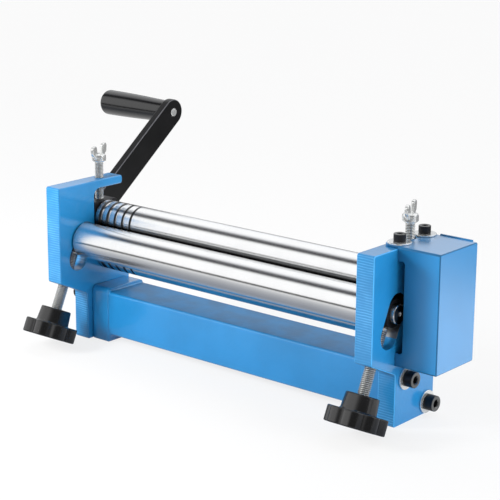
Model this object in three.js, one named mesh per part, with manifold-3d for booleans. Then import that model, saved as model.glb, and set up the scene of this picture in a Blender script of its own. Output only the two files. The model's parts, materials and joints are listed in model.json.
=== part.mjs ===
// Bench slip roll: three steel rollers between two cast side plates, a hand crank on the
// lower roller, a gear pair that drives the upper one, and a bending roller in front that
// two lobed knobs raise along slanted slots. Millimetres, +Z up, rollers along X, the
// operator stands on the -Y side. The origin is the middle of the machine's footprint.
import * as THREE from "three";
import { mergeVertices, toCreasedNormals } from "three/addons/utils/BufferGeometryUtils.js";
import Module from "manifold-3d";

const wasm = await Module();
wasm.setup();

// Rollers
const ROLLER_LENGTH = 320;
const ROLLER_DIAMETER = 31;
const ROLLER_EDGE = 0.8;
const END_PLAY = 1;
const NIP_GAP = 1;
const BENDING_GAP = 1.5;
const GROOVE_DEPTH = 2.2;
const GROOVE_WIDTHS = [5, 4.4, 3.8, 3.2, 2.6];
const GROOVE_START = 7;
const GROOVE_PITCH = 9;
const JOURNAL_DIAMETER = 18;
const BENDING_JOURNAL_DIAMETER = 16;
const DRIVE_SHAFT_DIAMETER = 16;
const BENDING_JOURNAL_PROUD = 4;
const CENTRE_HOLE_DIAMETER = 4;
const CENTRE_HOLE_DEPTH = 4;

// Clearances
const SEAT_GAP = 0.3;
const RUNNING_GAP = 0.15;
const CUT_PAST = 1;

// Flat sides used for round forms, and how far two joined forms run into each other
const BARREL_SIDES = 24;
const SHAFT_SIDES = 20;
const SCREW_SIDES = 14;
const CORNER_SIDES = 2;
const ROUND_END_SIDES = 3;
const CRANK_END_SIDES = 5;
const RING_SIDES = 6;
const LOBE_SIDES = 5;
const SWELL_SIDES = 5;
const JOIN_DEPTH = 2;

// Side plates
const PLATE_THICKNESS = 16.5;
const PLATE_EDGE = 1.2;
const PLATE_CORNER = 2;
const PLATE_SHOULDER = 3;
const FRONT_SETBACK = 29.7;
const SLOT_TILT = 25;
const SLOT_LAND = 15.9;
const SLOT_SPARE_BELOW = 1.5;
const SLOT_SPARE_ABOVE = 4;
const ARM_THICKNESS = 7.6;
const ARM_OVERHANG = 6.9;
const ARM_HEADROOM = 12.4;
const BACK_WALL = 14.3;
const BACK_WALL_RISE = 3.4;
const NOTCH_RADIUS = 7;
const BUSH_WEB = 4.5;
const LEG_DEPTH = 54.4;

// Bearing blocks and bushes
const BLOCK_WALL = 5.1;
const BLOCK_BELOW = 14;
const BLOCK_ABOVE = 15;
const BENDING_BLOCK_WALL = 2.7;
const BENDING_BLOCK_HEIGHT = 23;
const BUSH_WALL = 3;
const BLOCK_CORNER = 2;
const BLOCK_EDGE = 0.6;

// Travel of the two roller adjustments
const BENDING_RISE = 0.75;
const BENDING_DROP = 16;

// Cross beam
const BEAM_TOP = 47;
const BEAM_UNDERSIDE = 7;
const BEAM_DEPTH = 45;
const BEAM_WALL = 9;
const BEAM_SETBACK = 6.5;
const BEAM_TO_ROLLER = 16.1;
const PAD_THICKNESS = 20;
const PAD_RISE = 3;
const PAD_PROUD = 0.8;
const PAD_FOOT_CORNER = 1.5;
const PAD_TOP_CORNER = 5;
const BEAM_FOOT_CORNER = 2;
const BEAM_TOP_CORNER = 3;
const CHANNEL_CORNER = 4;

// Bending adjustment: M10 screws and lobed knobs
const SCREW_DIAMETER = 10;
const SCREW_POINT = 1.5;
const KNOB_DIAMETER = 49;
const KNOB_LOBES = 8;
const KNOB_LOBE_DEPTH = 3;
const KNOB_GRIP_HEIGHT = 13;
const KNOB_EDGE = 1.6;
const KNOB_HUB_DIAMETER = 27;
const KNOB_HUB_TAPER = 1;
const KNOB_HUB_HEIGHT = 13.5;
const KNOB_SOCKET_DEPTH = 16;
const KNOB_FLOOR_GAP = 0.8;

// Upper roller adjustment: M8 wing bolts with a button end held in each block
const WING_BOLT_DIAMETER = 8;
const WING_STAND = 15;
const WING_HUB_DIAMETER = 13;
const WING_HUB_HEIGHT = 6.5;
const WING_HUB_EDGE = 0.8;
const WING_HUB_ROUND = 2;
const WING_SPAN = 29;
const WING_RISE = 15;
const WING_THICKNESS = 3;
const WING_TIP_WIDTH = 8;
const WING_TIP_RADIUS = 3.5;
const WING_SWEEP_HEIGHT = 7;
const WING_SWEEP_RADIUS = 4;
const WING_TURN = 110;
const BUTTON_DIAMETER = 11;
const BUTTON_HEIGHT = 1.8;
const BUTTON_CAP = 2;
const NECK_DIAMETER = 6;

// Gears under the cover
const GEAR_TEETH = 16;
const GEAR_WIDTH = 14;
const GEAR_STAND_OFF = 2;
const GEAR_DEDENDUM = 1.5;
const GEAR_THINNING = 0.42;
const PRESSURE_ANGLE = 20;
const KEY_SIZE = 5;
const KEY_IN_SHAFT = 2.6;
const RING_WIDTH = 1.5;
const RING_RIM = 3;
const RING_GROOVE_DEPTH = 0.8;
const RING_OPENING = 40;
const SHAFT_TAIL = 3;
const KEYWAY_RISE = 2;

// Gear cover, folded from sheet
const COVER_SHEET = 1.5;
const COVER_DEPTH = 38.5;
const COVER_FRONT_REACH = 27.8;
const COVER_BACK_REACH = 24.1;
const COVER_BELOW_SHAFT = 27;
const COVER_TAB = 15.3;
const COVER_TAB_CORNER = 7;
const COVER_CORNER = 1.5;
const COVER_EDGE = 1;
const COVER_LIP = 1;
const COVER_LIP_INSET = 4.5;
const COVER_RELIEF = 6.7;
const COVER_FOOT = 11;
const COVER_BOLT_HOLE = 10.5;
const COVER_SCREW_INSET = 5.1;
const COVER_SCREW_OFFSETS = [-18.2, 15.6];
const COVER_WASHER_DIAMETER = 19;
const COVER_WASHER_THICKNESS = 1.4;
const COVER_SCREW_LENGTH = 11;

// Beam screws
const BEAM_SCREW_DIAMETER = 8;
const BEAM_SCREW_GRIP = 12;
const BEAM_SCREW_SPARE = 2;
const BEAM_SCREW_INSET = 7.4;
const BEAM_SCREW_DROP = 11.6;
const BEAM_SCREW_FLOOR = 10.4;
const BEAM_WASHER_DIAMETER = 19;
const BEAM_WASHER_THICKNESS = 1.6;
const COVER_SCREW_DIAMETER = 6;

// Socket head cap screws, in screw diameters
const CAP_HEAD = 1.625;
const CAP_SOCKET = 0.75;
const CAP_SOCKET_DEPTH = 0.5;
const CAP_EDGE = 0.1;

// Crank
const CRANK_RADIUS = 170;
const CRANK_ANGLE = 38;
const CRANK_WIDTH = 25;
const CRANK_THICKNESS = 8;
const CRANK_EDGE = 1.2;
const BOSS_DIAMETER = 28;
const BOSS_LENGTH = 18;
const BOSS_EDGE = 1;
const SHAFT_INSET = 0.5;
const BOSS_GAP = 5.5;
const SET_SCREW_DIAMETER = 6;
const SET_SCREW_EDGE = 0.5;
const SET_SCREW_SOCKET = 2.5;
const GRIP_LENGTH = 82;
const GRIP_OUTER_DIAMETER = 24.5;
const GRIP_INNER_DIAMETER = 20.5;
const GRIP_END_RADIUS = 4;
const GRIP_EDGE = 1;
const GRIP_RECESS_DEPTH = 9;
const PIN_DIAMETER = 8;
const PIN_HEAD_DIAMETER = 13;
const PIN_HEAD_HEIGHT = 4;
const PIN_EDGE = 0.8;

// Places worked out from the sizes above
const rad = THREE.MathUtils.degToRad;
const ROLLER_RADIUS = ROLLER_DIAMETER / 2;
const PLATE_INNER = ROLLER_LENGTH / 2 + END_PLAY;
const PLATE_OUTER = PLATE_INNER + PLATE_THICKNESS;
const PLATE_MIDDLE = PLATE_INNER + PLATE_THICKNESS / 2;
const NIP_CENTRES = ROLLER_DIAMETER + NIP_GAP;
const REAR_Y = FRONT_SETBACK + Math.sqrt((ROLLER_DIAMETER + BENDING_GAP) ** 2 - (NIP_CENTRES / 2) ** 2);
const LOWER_Z = BEAM_TOP + BEAM_TO_ROLLER + ROLLER_RADIUS;
const UPPER_Z = LOWER_Z + NIP_CENTRES;
const FRONT_Z = LOWER_Z + NIP_CENTRES / 2;
const BLOCK_WIDTH = JOURNAL_DIAMETER + 2 * BLOCK_WALL;
const BENDING_BLOCK_WIDTH = BENDING_JOURNAL_DIAMETER + 2 * BENDING_BLOCK_WALL;
const SLOT_WIDTH = BENDING_BLOCK_WIDTH + 2 * SEAT_GAP;
const SLOT_DOWN = BENDING_DROP + BENDING_BLOCK_HEIGHT / 2 + SLOT_SPARE_BELOW;
const SLOT_UP = BENDING_RISE + BENDING_BLOCK_HEIGHT / 2 + SLOT_SPARE_ABOVE;
const NOTCH_FRONT = REAR_Y - BLOCK_WIDTH / 2 - SEAT_GAP;
const NOTCH_BACK = REAR_Y + BLOCK_WIDTH / 2 + SEAT_GAP;
const BUSH_DIAMETER = JOURNAL_DIAMETER + 2 * RUNNING_GAP + 2 * BUSH_WALL;
const NOTCH_FLOOR = LOWER_Z + BUSH_DIAMETER / 2 + BUSH_WEB;
const ARM_UNDERSIDE = UPPER_Z + BLOCK_ABOVE + ARM_HEADROOM;
const PLATE_TOP = ARM_UNDERSIDE + ARM_THICKNESS;
const PLATE_BACK = NOTCH_BACK + BACK_WALL;
const LEG_FRONT = PLATE_BACK - LEG_DEPTH;
const UP_SLOT = new THREE.Vector2(Math.sin(rad(SLOT_TILT)), Math.cos(rad(SLOT_TILT)));
const BEAM_FRONT = LEG_FRONT + BEAM_SETBACK;
const BEAM_BACK = BEAM_FRONT + BEAM_DEPTH;
const COVER_TOP = PLATE_TOP + SEAT_GAP + COVER_SHEET;
const THROUGH_PLATE = [PLATE_INNER - CUT_PAST, PLATE_OUTER + CUT_PAST];
const IN_PLATE = [PLATE_INNER + SEAT_GAP, PLATE_OUTER - SEAT_GAP];

const paint = new THREE.MeshStandardMaterial({ color: 0x3c8fd4, roughness: 0.35, metalness: 0 });
const chrome = new THREE.MeshStandardMaterial({ color: 0xd6d8da, roughness: 0.15, metalness: 1 });
const zinc = new THREE.MeshStandardMaterial({ color: 0xbfc4c6, roughness: 0.35, metalness: 1 });
const steel = new THREE.MeshStandardMaterial({ color: 0x8b8f93, roughness: 0.4, metalness: 1 });
const blackOxide = new THREE.MeshStandardMaterial({ color: 0x26262a, roughness: 0.45, metalness: 0.8 });
const blackPlastic = new THREE.MeshStandardMaterial({ color: 0x1b1b1d, roughness: 0.5, metalness: 0 });
const bronze = new THREE.MeshStandardMaterial({ color: 0xb0813f, roughness: 0.4, metalness: 1 });

// A closed geometry as a solid: shared corners merged, flat slivers dropped, faces out
function solid(geometry) {
  const bare = geometry.clone();
  bare.deleteAttribute("normal");
  bare.deleteAttribute("uv");
  const merged = mergeVertices(bare, 1e-4);
  const position = merged.attributes.position;
  const corners = [0, 1, 2].map(() => new THREE.Vector3());
  const triangles = [];
  let volume = 0;
  for (let i = 0; i < merged.index.count; i += 3) {
    const ids = [0, 1, 2].map((k) => merged.index.getX(i + k));
    if (new Set(ids).size === 3) {
      ids.forEach((id, k) => corners[k].fromBufferAttribute(position, id));
      volume += corners[0].dot(corners[1].clone().cross(corners[2]));
      triangles.push(ids);
    }
  }
  const triVerts = Uint32Array.from(triangles.flatMap((t) => (volume < 0 ? t.toReversed() : t)));
  return new wasm.Manifold(new wasm.Mesh({ numProp: 3, vertProperties: position.array, triVerts }));
}

function pieceMesh(name, shape, material) {
  const cut = shape.getMesh();
  const geometry = new THREE.BufferGeometry();
  geometry.setAttribute("position", new THREE.BufferAttribute(cut.vertProperties, 3));
  geometry.setIndex(new THREE.BufferAttribute(cut.triVerts, 1));
  const mesh = new THREE.Mesh(toCreasedNormals(geometry, rad(35)), material);
  mesh.name = name;
  return mesh;
}

// Local axes laid onto the machine's: along names the direction that local Z takes
const AXES = {
  x: new THREE.Matrix4().makeBasis(
    new THREE.Vector3(0, 1, 0), new THREE.Vector3(0, 0, 1), new THREE.Vector3(1, 0, 0)),
  y: new THREE.Matrix4().makeBasis(
    new THREE.Vector3(-1, 0, 0), new THREE.Vector3(0, 0, 1), new THREE.Vector3(0, 1, 0)),
  z: new THREE.Matrix4(),
  // up the slanted slot, with local X along the rollers
  slot: new THREE.Matrix4().makeBasis(
    new THREE.Vector3(1, 0, 0), new THREE.Vector3(0, UP_SLOT.y, -UP_SLOT.x),
    new THREE.Vector3(0, UP_SLOT.x, UP_SLOT.y)),
};

// Closed outline through corners [a, b, radius]
function outline(corners) {
  const shape = new THREE.Shape();
  const points = corners.map(([a, b]) => new THREE.Vector2(a, b));
  corners.forEach(([a, b, radius = 0], i) => {
    const corner = points[i];
    const before = points.at(i - 1).clone().sub(corner).normalize();
    const after = points[(i + 1) % points.length].clone().sub(corner).normalize();
    const move = i === 0 ? "moveTo" : "lineTo";
    if (radius === 0) {
      shape[move](a, b);
      return;
    }
    const half = Math.acos(THREE.MathUtils.clamp(before.dot(after), -1, 1)) / 2;
    const inward = before.clone().add(after).normalize();
    const start = corner.clone().addScaledVector(before, radius / Math.tan(half));
    const centre = corner.clone().addScaledVector(inward, radius / Math.sin(half));
    const end = corner.clone().addScaledVector(after, radius / Math.tan(half));
    const from = start.clone().sub(centre).angle();
    const to = end.clone().sub(centre).angle();
    shape[move](start.x, start.y);
    shape.absarc(centre.x, centre.y, radius, from, to, before.cross(after) > 0);
  });
  shape.closePath();
  return shape;
}

// A flat outline swept from low to high along one axis, with its edges broken
function prism(shape, axis, low, high, edge = 0, curveSegments = CORNER_SIDES) {
  const geometry = new THREE.ExtrudeGeometry(shape, {
    depth: high - low - 2 * edge,
    curveSegments,
    bevelEnabled: edge > 0,
    bevelThickness: edge,
    bevelSize: edge,
    bevelOffset: -edge,
    bevelSegments: 1,
  });
  geometry.translate(0, 0, low + edge);
  return solid(geometry.applyMatrix4(AXES[axis]));
}

// A profile [radius, distance along the axis] turned about an axis through a centre
function turned(profile, axis, centre, sides = SHAFT_SIDES) {
  const points = profile.map(([radius, along]) => new THREE.Vector2(radius, along));
  const geometry = new THREE.LatheGeometry(points, sides);
  geometry.rotateX(Math.PI / 2);
  geometry.applyMatrix4(AXES[axis]);
  return solid(geometry).translate(centre);
}

function rod(radius, axis, low, high, centre, sides = SHAFT_SIDES) {
  return turned([[0, low], [radius, low], [radius, high], [0, high]], axis, centre, sides);
}

function block(low, high) {
  const size = high.map((value, i) => value - low[i]);
  const geometry = new THREE.BoxGeometry(...size);
  geometry.translate(...low.map((value, i) => value + size[i] / 2));
  return solid(geometry);
}

function mirrored(shape) {
  return shape.mirror([1, 0, 0]);
}

// Obround outline about the local origin, its straight sides along local Y
function obround(width, up, down) {
  const radius = width / 2;
  return outline([
    [-radius, -down, radius], [radius, -down, radius], [radius, up, radius], [-radius, up, radius],
  ]);
}

// A point on the slot's line, a distance up it from the bending roller's axis
function onSlot(along) {
  return [FRONT_SETBACK + along * UP_SLOT.x, FRONT_Z + along * UP_SLOT.y];
}

// Right-hand side plate; the left one is its mirror image without the cover's screw holes
function sidePlate() {
  const [footY, footZ] = onSlot(-SLOT_DOWN - SLOT_LAND);
  const slope = Math.tan(rad(SLOT_TILT));
  const lipZ = footZ + footY * slope;
  const shoulderZ = lipZ - LEG_FRONT * slope;
  const profile = outline([
    [LEG_FRONT, 0, PLATE_CORNER],
    [PLATE_BACK, 0, PLATE_CORNER],
    [PLATE_BACK, UPPER_Z + BACK_WALL_RISE, PLATE_SHOULDER],
    [NOTCH_BACK, UPPER_Z + BACK_WALL_RISE, PLATE_CORNER],
    [NOTCH_BACK, NOTCH_FLOOR, PLATE_CORNER],
    [NOTCH_FRONT, NOTCH_FLOOR, PLATE_CORNER],
    [NOTCH_FRONT, ARM_UNDERSIDE, NOTCH_RADIUS],
    [NOTCH_BACK + ARM_OVERHANG, ARM_UNDERSIDE, PLATE_CORNER],
    [NOTCH_BACK + ARM_OVERHANG, PLATE_TOP, PLATE_CORNER],
    [0, PLATE_TOP, PLATE_CORNER],
    [0, lipZ, PLATE_CORNER],
    [LEG_FRONT, shoulderZ, PLATE_SHOULDER],
  ]);
  const body = prism(profile, "x", PLATE_INNER, PLATE_OUTER, PLATE_EDGE);
  const slotLine = obround(SLOT_WIDTH, SLOT_UP, SLOT_DOWN);
  const slot = prism(slotLine, "x", ...THROUGH_PLATE, 0, ROUND_END_SIDES)
    .rotate([-SLOT_TILT, 0, 0])
    .translate([0, FRONT_SETBACK, FRONT_Z]);
  const screwHole = rod(SCREW_DIAMETER / 2 + SEAT_GAP, "slot", -SLOT_DOWN - SLOT_LAND - CUT_PAST,
    -SLOT_DOWN + SCREW_DIAMETER / 2, [PLATE_MIDDLE, FRONT_SETBACK, FRONT_Z], SCREW_SIDES);
  const bushHole = rod(BUSH_DIAMETER / 2 + SEAT_GAP, "x", ...THROUGH_PLATE,
    [0, REAR_Y, LOWER_Z], BARREL_SIDES);
  const wingHole = rod(WING_BOLT_DIAMETER / 2 + SEAT_GAP, "z", ARM_UNDERSIDE - CUT_PAST,
    PLATE_TOP + CUT_PAST, [PLATE_MIDDLE, REAR_Y, 0], SCREW_SIDES);
  const plate = body.subtract(slot).subtract(screwHole).subtract(bushHole).subtract(wingHole);
  return beamScrewPlaces().reduce((drilled, [y, z]) => drilled.subtract(
    rod(BEAM_SCREW_DIAMETER / 2 + SEAT_GAP, "x", ...THROUGH_PLATE, [0, y, z], SCREW_SIDES)), plate);
}

function beamScrewPlaces() {
  return [
    [BEAM_FRONT + BEAM_SCREW_INSET, BEAM_TOP + PAD_RISE - BEAM_SCREW_DROP],
    [BEAM_BACK - BEAM_SCREW_INSET, BEAM_SCREW_FLOOR],
  ];
}

function coverScrewPlaces() {
  const x = PLATE_OUTER - COVER_SCREW_INSET;
  return COVER_SCREW_OFFSETS.map((offset) => [x, REAR_Y + offset]);
}

function rightPlate() {
  const hole = rod(COVER_SCREW_DIAMETER / 2 + SEAT_GAP, "z", PLATE_TOP - COVER_SCREW_LENGTH,
    PLATE_TOP + CUT_PAST, [0, 0, 0], SCREW_SIDES);
  return coverScrewPlaces().reduce(
    (plate, [x, y]) => plate.subtract(hole.translate([x, y, 0])),
    sidePlate());
}

// Cast beam: an inverted channel that arches between two end pads
function crossBeam() {
  const end = PLATE_INNER - SEAT_GAP;
  const padFace = end - PAD_THICKNESS;
  const bar = prism(outline([
    [BEAM_FRONT, BEAM_UNDERSIDE, BEAM_FOOT_CORNER],
    [BEAM_BACK, BEAM_UNDERSIDE, BEAM_FOOT_CORNER],
    [BEAM_BACK, BEAM_TOP, BEAM_TOP_CORNER],
    [BEAM_FRONT, BEAM_TOP, BEAM_TOP_CORNER],
  ]), "x", -padFace - BEAM_WALL, padFace + BEAM_WALL);
  const padLine = outline([
    [BEAM_FRONT - PAD_PROUD, 0, PAD_FOOT_CORNER],
    [BEAM_BACK + PAD_PROUD, 0, PAD_FOOT_CORNER],
    [BEAM_BACK + PAD_PROUD, BEAM_TOP + PAD_RISE, PAD_TOP_CORNER],
    [BEAM_FRONT - PAD_PROUD, BEAM_TOP + PAD_RISE, PAD_TOP_CORNER],
  ]);
  const pad = prism(padLine, "x", padFace, end, PLATE_EDGE);
  const channelEnd = padFace - 2 * BEAM_WALL;
  const channel = prism(outline([
    [BEAM_FRONT + BEAM_WALL, BEAM_UNDERSIDE - CUT_PAST],
    [BEAM_BACK - BEAM_WALL, BEAM_UNDERSIDE - CUT_PAST],
    [BEAM_BACK - BEAM_WALL, BEAM_TOP - BEAM_WALL, CHANNEL_CORNER],
    [BEAM_FRONT + BEAM_WALL, BEAM_TOP - BEAM_WALL, CHANNEL_CORNER],
  ]), "x", -channelEnd, channelEnd);
  let beam = bar.add(pad).add(mirrored(pad)).subtract(channel);
  for (const [y, z] of beamScrewPlaces()) {
    const hole = rod(BEAM_SCREW_DIAMETER / 2 + SEAT_GAP, "x", end - BEAM_SCREW_GRIP - BEAM_SCREW_SPARE,
      end + CUT_PAST, [0, y, z], SCREW_SIDES);
    beam = beam.subtract(hole).subtract(mirrored(hole));
  }
  return beam;
}

// Roller barrel with its journals: parts are [radius, length] outwards from each end
function rollerProfile(leftSteps, rightSteps, grooves) {
  const half = ROLLER_LENGTH / 2;
  const points = [];
  let x = -half - leftSteps.reduce((sum, [, length]) => sum + length, 0);
  points.push([0, x]);
  for (const [radius, length] of leftSteps.toReversed()) {
    points.push([radius, x], [radius, x + length]);
    x += length;
  }
  points.push([ROLLER_RADIUS - ROLLER_EDGE, -half], [ROLLER_RADIUS, -half + ROLLER_EDGE]);
  grooves.forEach((width, i) => {
    const middle = -half + GROOVE_START + i * GROOVE_PITCH;
    const depth = GROOVE_DEPTH * width / GROOVE_WIDTHS[0];
    points.push([ROLLER_RADIUS, middle - width / 2], [ROLLER_RADIUS - depth, middle]);
    points.push([ROLLER_RADIUS, middle + width / 2]);
  });
  points.push([ROLLER_RADIUS, half - ROLLER_EDGE], [ROLLER_RADIUS - ROLLER_EDGE, half]);
  x = half;
  for (const [radius, length] of rightSteps) {
    points.push([radius, x], [radius, x + length]);
    x += length;
  }
  points.push([0, x]);
  return points;
}

const DRIVE_RADIUS = DRIVE_SHAFT_DIAMETER / 2;
const JOURNAL_REACH = END_PLAY + PLATE_THICKNESS;
const RING_GROOVE = [DRIVE_RADIUS - RING_GROOVE_DEPTH, RING_WIDTH];
const GEAR_START = PLATE_OUTER + GEAR_STAND_OFF;
const GEAR_END = GEAR_START + GEAR_WIDTH;
const RING_START = GEAR_END + SEAT_GAP;
const CRANK_INNER = -(PLATE_OUTER + BOSS_GAP + BOSS_LENGTH);
const CRANK_OUTER = CRANK_INNER - CRANK_THICKNESS;

// Steps of the shaft that carries a gear: to the ring groove, the groove, and the tail
function gearShaft() {
  return [
    [JOURNAL_DIAMETER / 2, JOURNAL_REACH],
    [DRIVE_RADIUS, RING_START - PLATE_OUTER],
    RING_GROOVE,
    [DRIVE_RADIUS, SHAFT_TAIL],
  ];
}

// The keyway is open over the gear's width; side is +1 above the axis and -1 below it
function keyway(axisZ, side) {
  const bottom = DRIVE_RADIUS - KEY_IN_SHAFT;
  const zs = [axisZ + side * bottom, axisZ + side * (DRIVE_RADIUS + KEYWAY_RISE)].sort((a, b) => a - b);
  return block([GEAR_START, REAR_Y - KEY_SIZE / 2, zs[0]], [GEAR_END, REAR_Y + KEY_SIZE / 2, zs[1]]);
}

function lowerRoller() {
  const left = [
    [JOURNAL_DIAMETER / 2, JOURNAL_REACH],
    [DRIVE_RADIUS, -PLATE_OUTER - CRANK_OUTER - SHAFT_INSET],
  ];
  const profile = rollerProfile(left, gearShaft(), GROOVE_WIDTHS);
  return turned(profile, "x", [0, REAR_Y, LOWER_Z], BARREL_SIDES).subtract(keyway(LOWER_Z, -1));
}

function upperRoller() {
  const left = [[JOURNAL_DIAMETER / 2, JOURNAL_REACH]];
  const profile = rollerProfile(left, gearShaft(), GROOVE_WIDTHS);
  return turned(profile, "x", [0, REAR_Y, UPPER_Z], BARREL_SIDES).subtract(keyway(UPPER_Z, 1));
}

function frontRoller() {
  const steps = [[BENDING_JOURNAL_DIAMETER / 2, JOURNAL_REACH + BENDING_JOURNAL_PROUD]];
  const body = turned(rollerProfile(steps, steps, []), "x", [0, FRONT_SETBACK, FRONT_Z], BARREL_SIDES);
  const tip = PLATE_OUTER + BENDING_JOURNAL_PROUD;
  const radius = CENTRE_HOLE_DIAMETER / 2;
  const centre = turned([
    [0, tip - CENTRE_HOLE_DEPTH], [radius, tip - radius], [radius, tip + CUT_PAST], [0, tip + CUT_PAST],
  ], "x", [0, FRONT_SETBACK, FRONT_Z], SCREW_SIDES);
  return body.subtract(centre).subtract(mirrored(centre));
}

// Spring ring that snaps into a shaft's groove, open on one side
function ringOn(shaftRadius, start, y, z) {
  const inner = shaftRadius - RING_GROOVE_DEPTH + SEAT_GAP;
  const outer = shaftRadius + RING_RIM;
  const inset = RING_WIDTH / 10;
  const half = rad(RING_OPENING / 2);
  const shape = new THREE.Shape();
  shape.absarc(0, 0, outer, half, 2 * Math.PI - half, false);
  shape.absarc(0, 0, inner, 2 * Math.PI - half, half, true);
  shape.closePath();
  return prism(shape, "x", start + inset, start + RING_WIDTH - inset, 0, RING_SIDES).translate([0, y, z]);
}

// Spur gear tooth outline from the involute of its base circle
function gearOutline(boreRadius, turn) {
  const module = NIP_CENTRES / GEAR_TEETH;
  const pitch = NIP_CENTRES / 2;
  const base = pitch * Math.cos(rad(PRESSURE_ANGLE));
  const tip = pitch + module;
  const root = pitch - GEAR_DEDENDUM * module;
  const involute = (radius) => {
    const angle = Math.acos(Math.min(1, base / radius));
    return Math.tan(angle) - angle;
  };
  const halfAtPitch = (Math.PI * module / 2 - GEAR_THINNING) / 2 / pitch;
  const halfAt = (radius) => halfAtPitch + involute(pitch) - involute(radius);
  const flank = [root, base, (base + 2 * tip) / 3, tip];
  const shape = new THREE.Shape();
  for (let tooth = 0; tooth < GEAR_TEETH; tooth += 1) {
    const middle = turn + 2 * Math.PI * tooth / GEAR_TEETH;
    const rising = flank.map((radius) => [radius, middle - halfAt(radius)]);
    const falling = flank.toReversed().map((radius) => [radius, middle + halfAt(radius)]);
    [...rising, ...falling].forEach(([radius, angle], i) => {
      const move = tooth + i === 0 ? "moveTo" : "lineTo";
      shape[move](radius * Math.cos(angle), radius * Math.sin(angle));
    });
  }
  shape.closePath();
  const hole = new THREE.Path();
  hole.absarc(0, 0, boreRadius, 0, 2 * Math.PI, true);
  shape.holes.push(hole);
  return shape;
}

function gear(z, keySide, turn) {
  const bore = DRIVE_RADIUS + RUNNING_GAP;
  const blank = prism(gearOutline(bore, turn), "x", GEAR_START + SEAT_GAP, GEAR_END, 0, SHAFT_SIDES / 2);
  const reach = DRIVE_RADIUS + KEY_SIZE - KEY_IN_SHAFT + SEAT_GAP;
  const zs = [0, keySide * reach].sort((a, b) => a - b);
  const half = KEY_SIZE / 2;
  const slot = block([GEAR_START - CUT_PAST, -half, zs[0]], [GEAR_END + CUT_PAST, half, zs[1]]);
  return blank.subtract(slot).translate([0, REAR_Y, z]);
}

function gearKey(z, side) {
  const slack = RUNNING_GAP;
  const low = DRIVE_RADIUS - KEY_IN_SHAFT + slack;
  const high = low + KEY_SIZE - slack;
  const zs = [z + side * low, z + side * high].sort((a, b) => a - b);
  const half = KEY_SIZE / 2 - slack;
  const [start, end] = [GEAR_START + SEAT_GAP, GEAR_END - SEAT_GAP];
  return block([start, REAR_Y - half, zs[0]], [end, REAR_Y + half, zs[1]]);
}

// Plain bush pressed in a side plate for the lower roller
function lowerBush() {
  const inner = JOURNAL_DIAMETER / 2 + RUNNING_GAP;
  const outer = BUSH_DIAMETER / 2;
  const [low, high] = IN_PLATE;
  return turned([[inner, low], [outer, low], [outer, high], [inner, high], [inner, low]],
    "x", [0, REAR_Y, LOWER_Z], BARREL_SIDES);
}

// Upper roller's block: slides in the notch and holds the wing bolt's button in a T-slot
function upperBlock() {
  const half = BLOCK_WIDTH / 2;
  const body = prism(outline([
    [REAR_Y - half, UPPER_Z - BLOCK_BELOW, BLOCK_CORNER],
    [REAR_Y + half, UPPER_Z - BLOCK_BELOW, BLOCK_CORNER],
    [REAR_Y + half, UPPER_Z + BLOCK_ABOVE, BLOCK_CORNER],
    [REAR_Y - half, UPPER_Z + BLOCK_ABOVE, BLOCK_CORNER],
  ]), "x", ...IN_PLATE, BLOCK_EDGE);
  const bore = rod(JOURNAL_DIAMETER / 2 + RUNNING_GAP, "x", ...THROUGH_PLATE,
    [0, REAR_Y, UPPER_Z], BARREL_SIDES);
  const top = UPPER_Z + BLOCK_ABOVE;
  const tSlot = (diameter, from, to) => {
    const radius = diameter / 2 + SEAT_GAP;
    return rod(radius, "z", from, to, [PLATE_MIDDLE, REAR_Y, 0])
      .add(block([PLATE_MIDDLE, REAR_Y - radius, from], [THROUGH_PLATE[1], REAR_Y + radius, to]));
  };
  const buttonTop = top - BUTTON_CAP;
  const pocket = tSlot(BUTTON_DIAMETER, buttonTop - BUTTON_HEIGHT - 2 * SEAT_GAP, buttonTop);
  const throat = tSlot(NECK_DIAMETER, buttonTop - SEAT_GAP, top + CUT_PAST);
  return body.subtract(bore).subtract(pocket).subtract(throat);
}

// Bending roller's block: round ended, it rides in the slanted slot on the screw's tip
function bendingBlock() {
  const shape = obround(BENDING_BLOCK_WIDTH, BENDING_BLOCK_HEIGHT / 2, BENDING_BLOCK_HEIGHT / 2);
  const bore = rod(BENDING_JOURNAL_DIAMETER / 2 + RUNNING_GAP, "x", ...THROUGH_PLATE,
    [0, FRONT_SETBACK, FRONT_Z], BARREL_SIDES);
  return prism(shape, "x", ...IN_PLATE, BLOCK_EDGE, ROUND_END_SIDES)
    .rotate([-SLOT_TILT, 0, 0])
    .translate([0, FRONT_SETBACK, FRONT_Z])
    .subtract(bore);
}

// How far down the slot's line the knob's hub begins, so that its rim clears the floor
const KNOB_RADIUS = KNOB_DIAMETER / 2;
const RIM_DROP = KNOB_RADIUS * Math.cos(Math.PI / KNOB_LOBES) * UP_SLOT.x;
const KNOB_BOTTOM = (FRONT_Z - KNOB_FLOOR_GAP - RIM_DROP) / UP_SLOT.y;
const HUB_TOP = KNOB_BOTTOM - KNOB_GRIP_HEIGHT - KNOB_HUB_HEIGHT;

function adjustingScrew() {
  const radius = SCREW_DIAMETER / 2;
  const tip = -BENDING_BLOCK_HEIGHT / 2 - SEAT_GAP;
  const foot = -HUB_TOP - KNOB_SOCKET_DEPTH + SEAT_GAP;
  const profile = [
    [0, foot], [radius, foot], [radius, tip - SCREW_POINT], [radius - SCREW_POINT, tip], [0, tip],
  ];
  return turned(profile, "slot", [PLATE_MIDDLE, FRONT_SETBACK, FRONT_Z], SCREW_SIDES);
}

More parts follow.
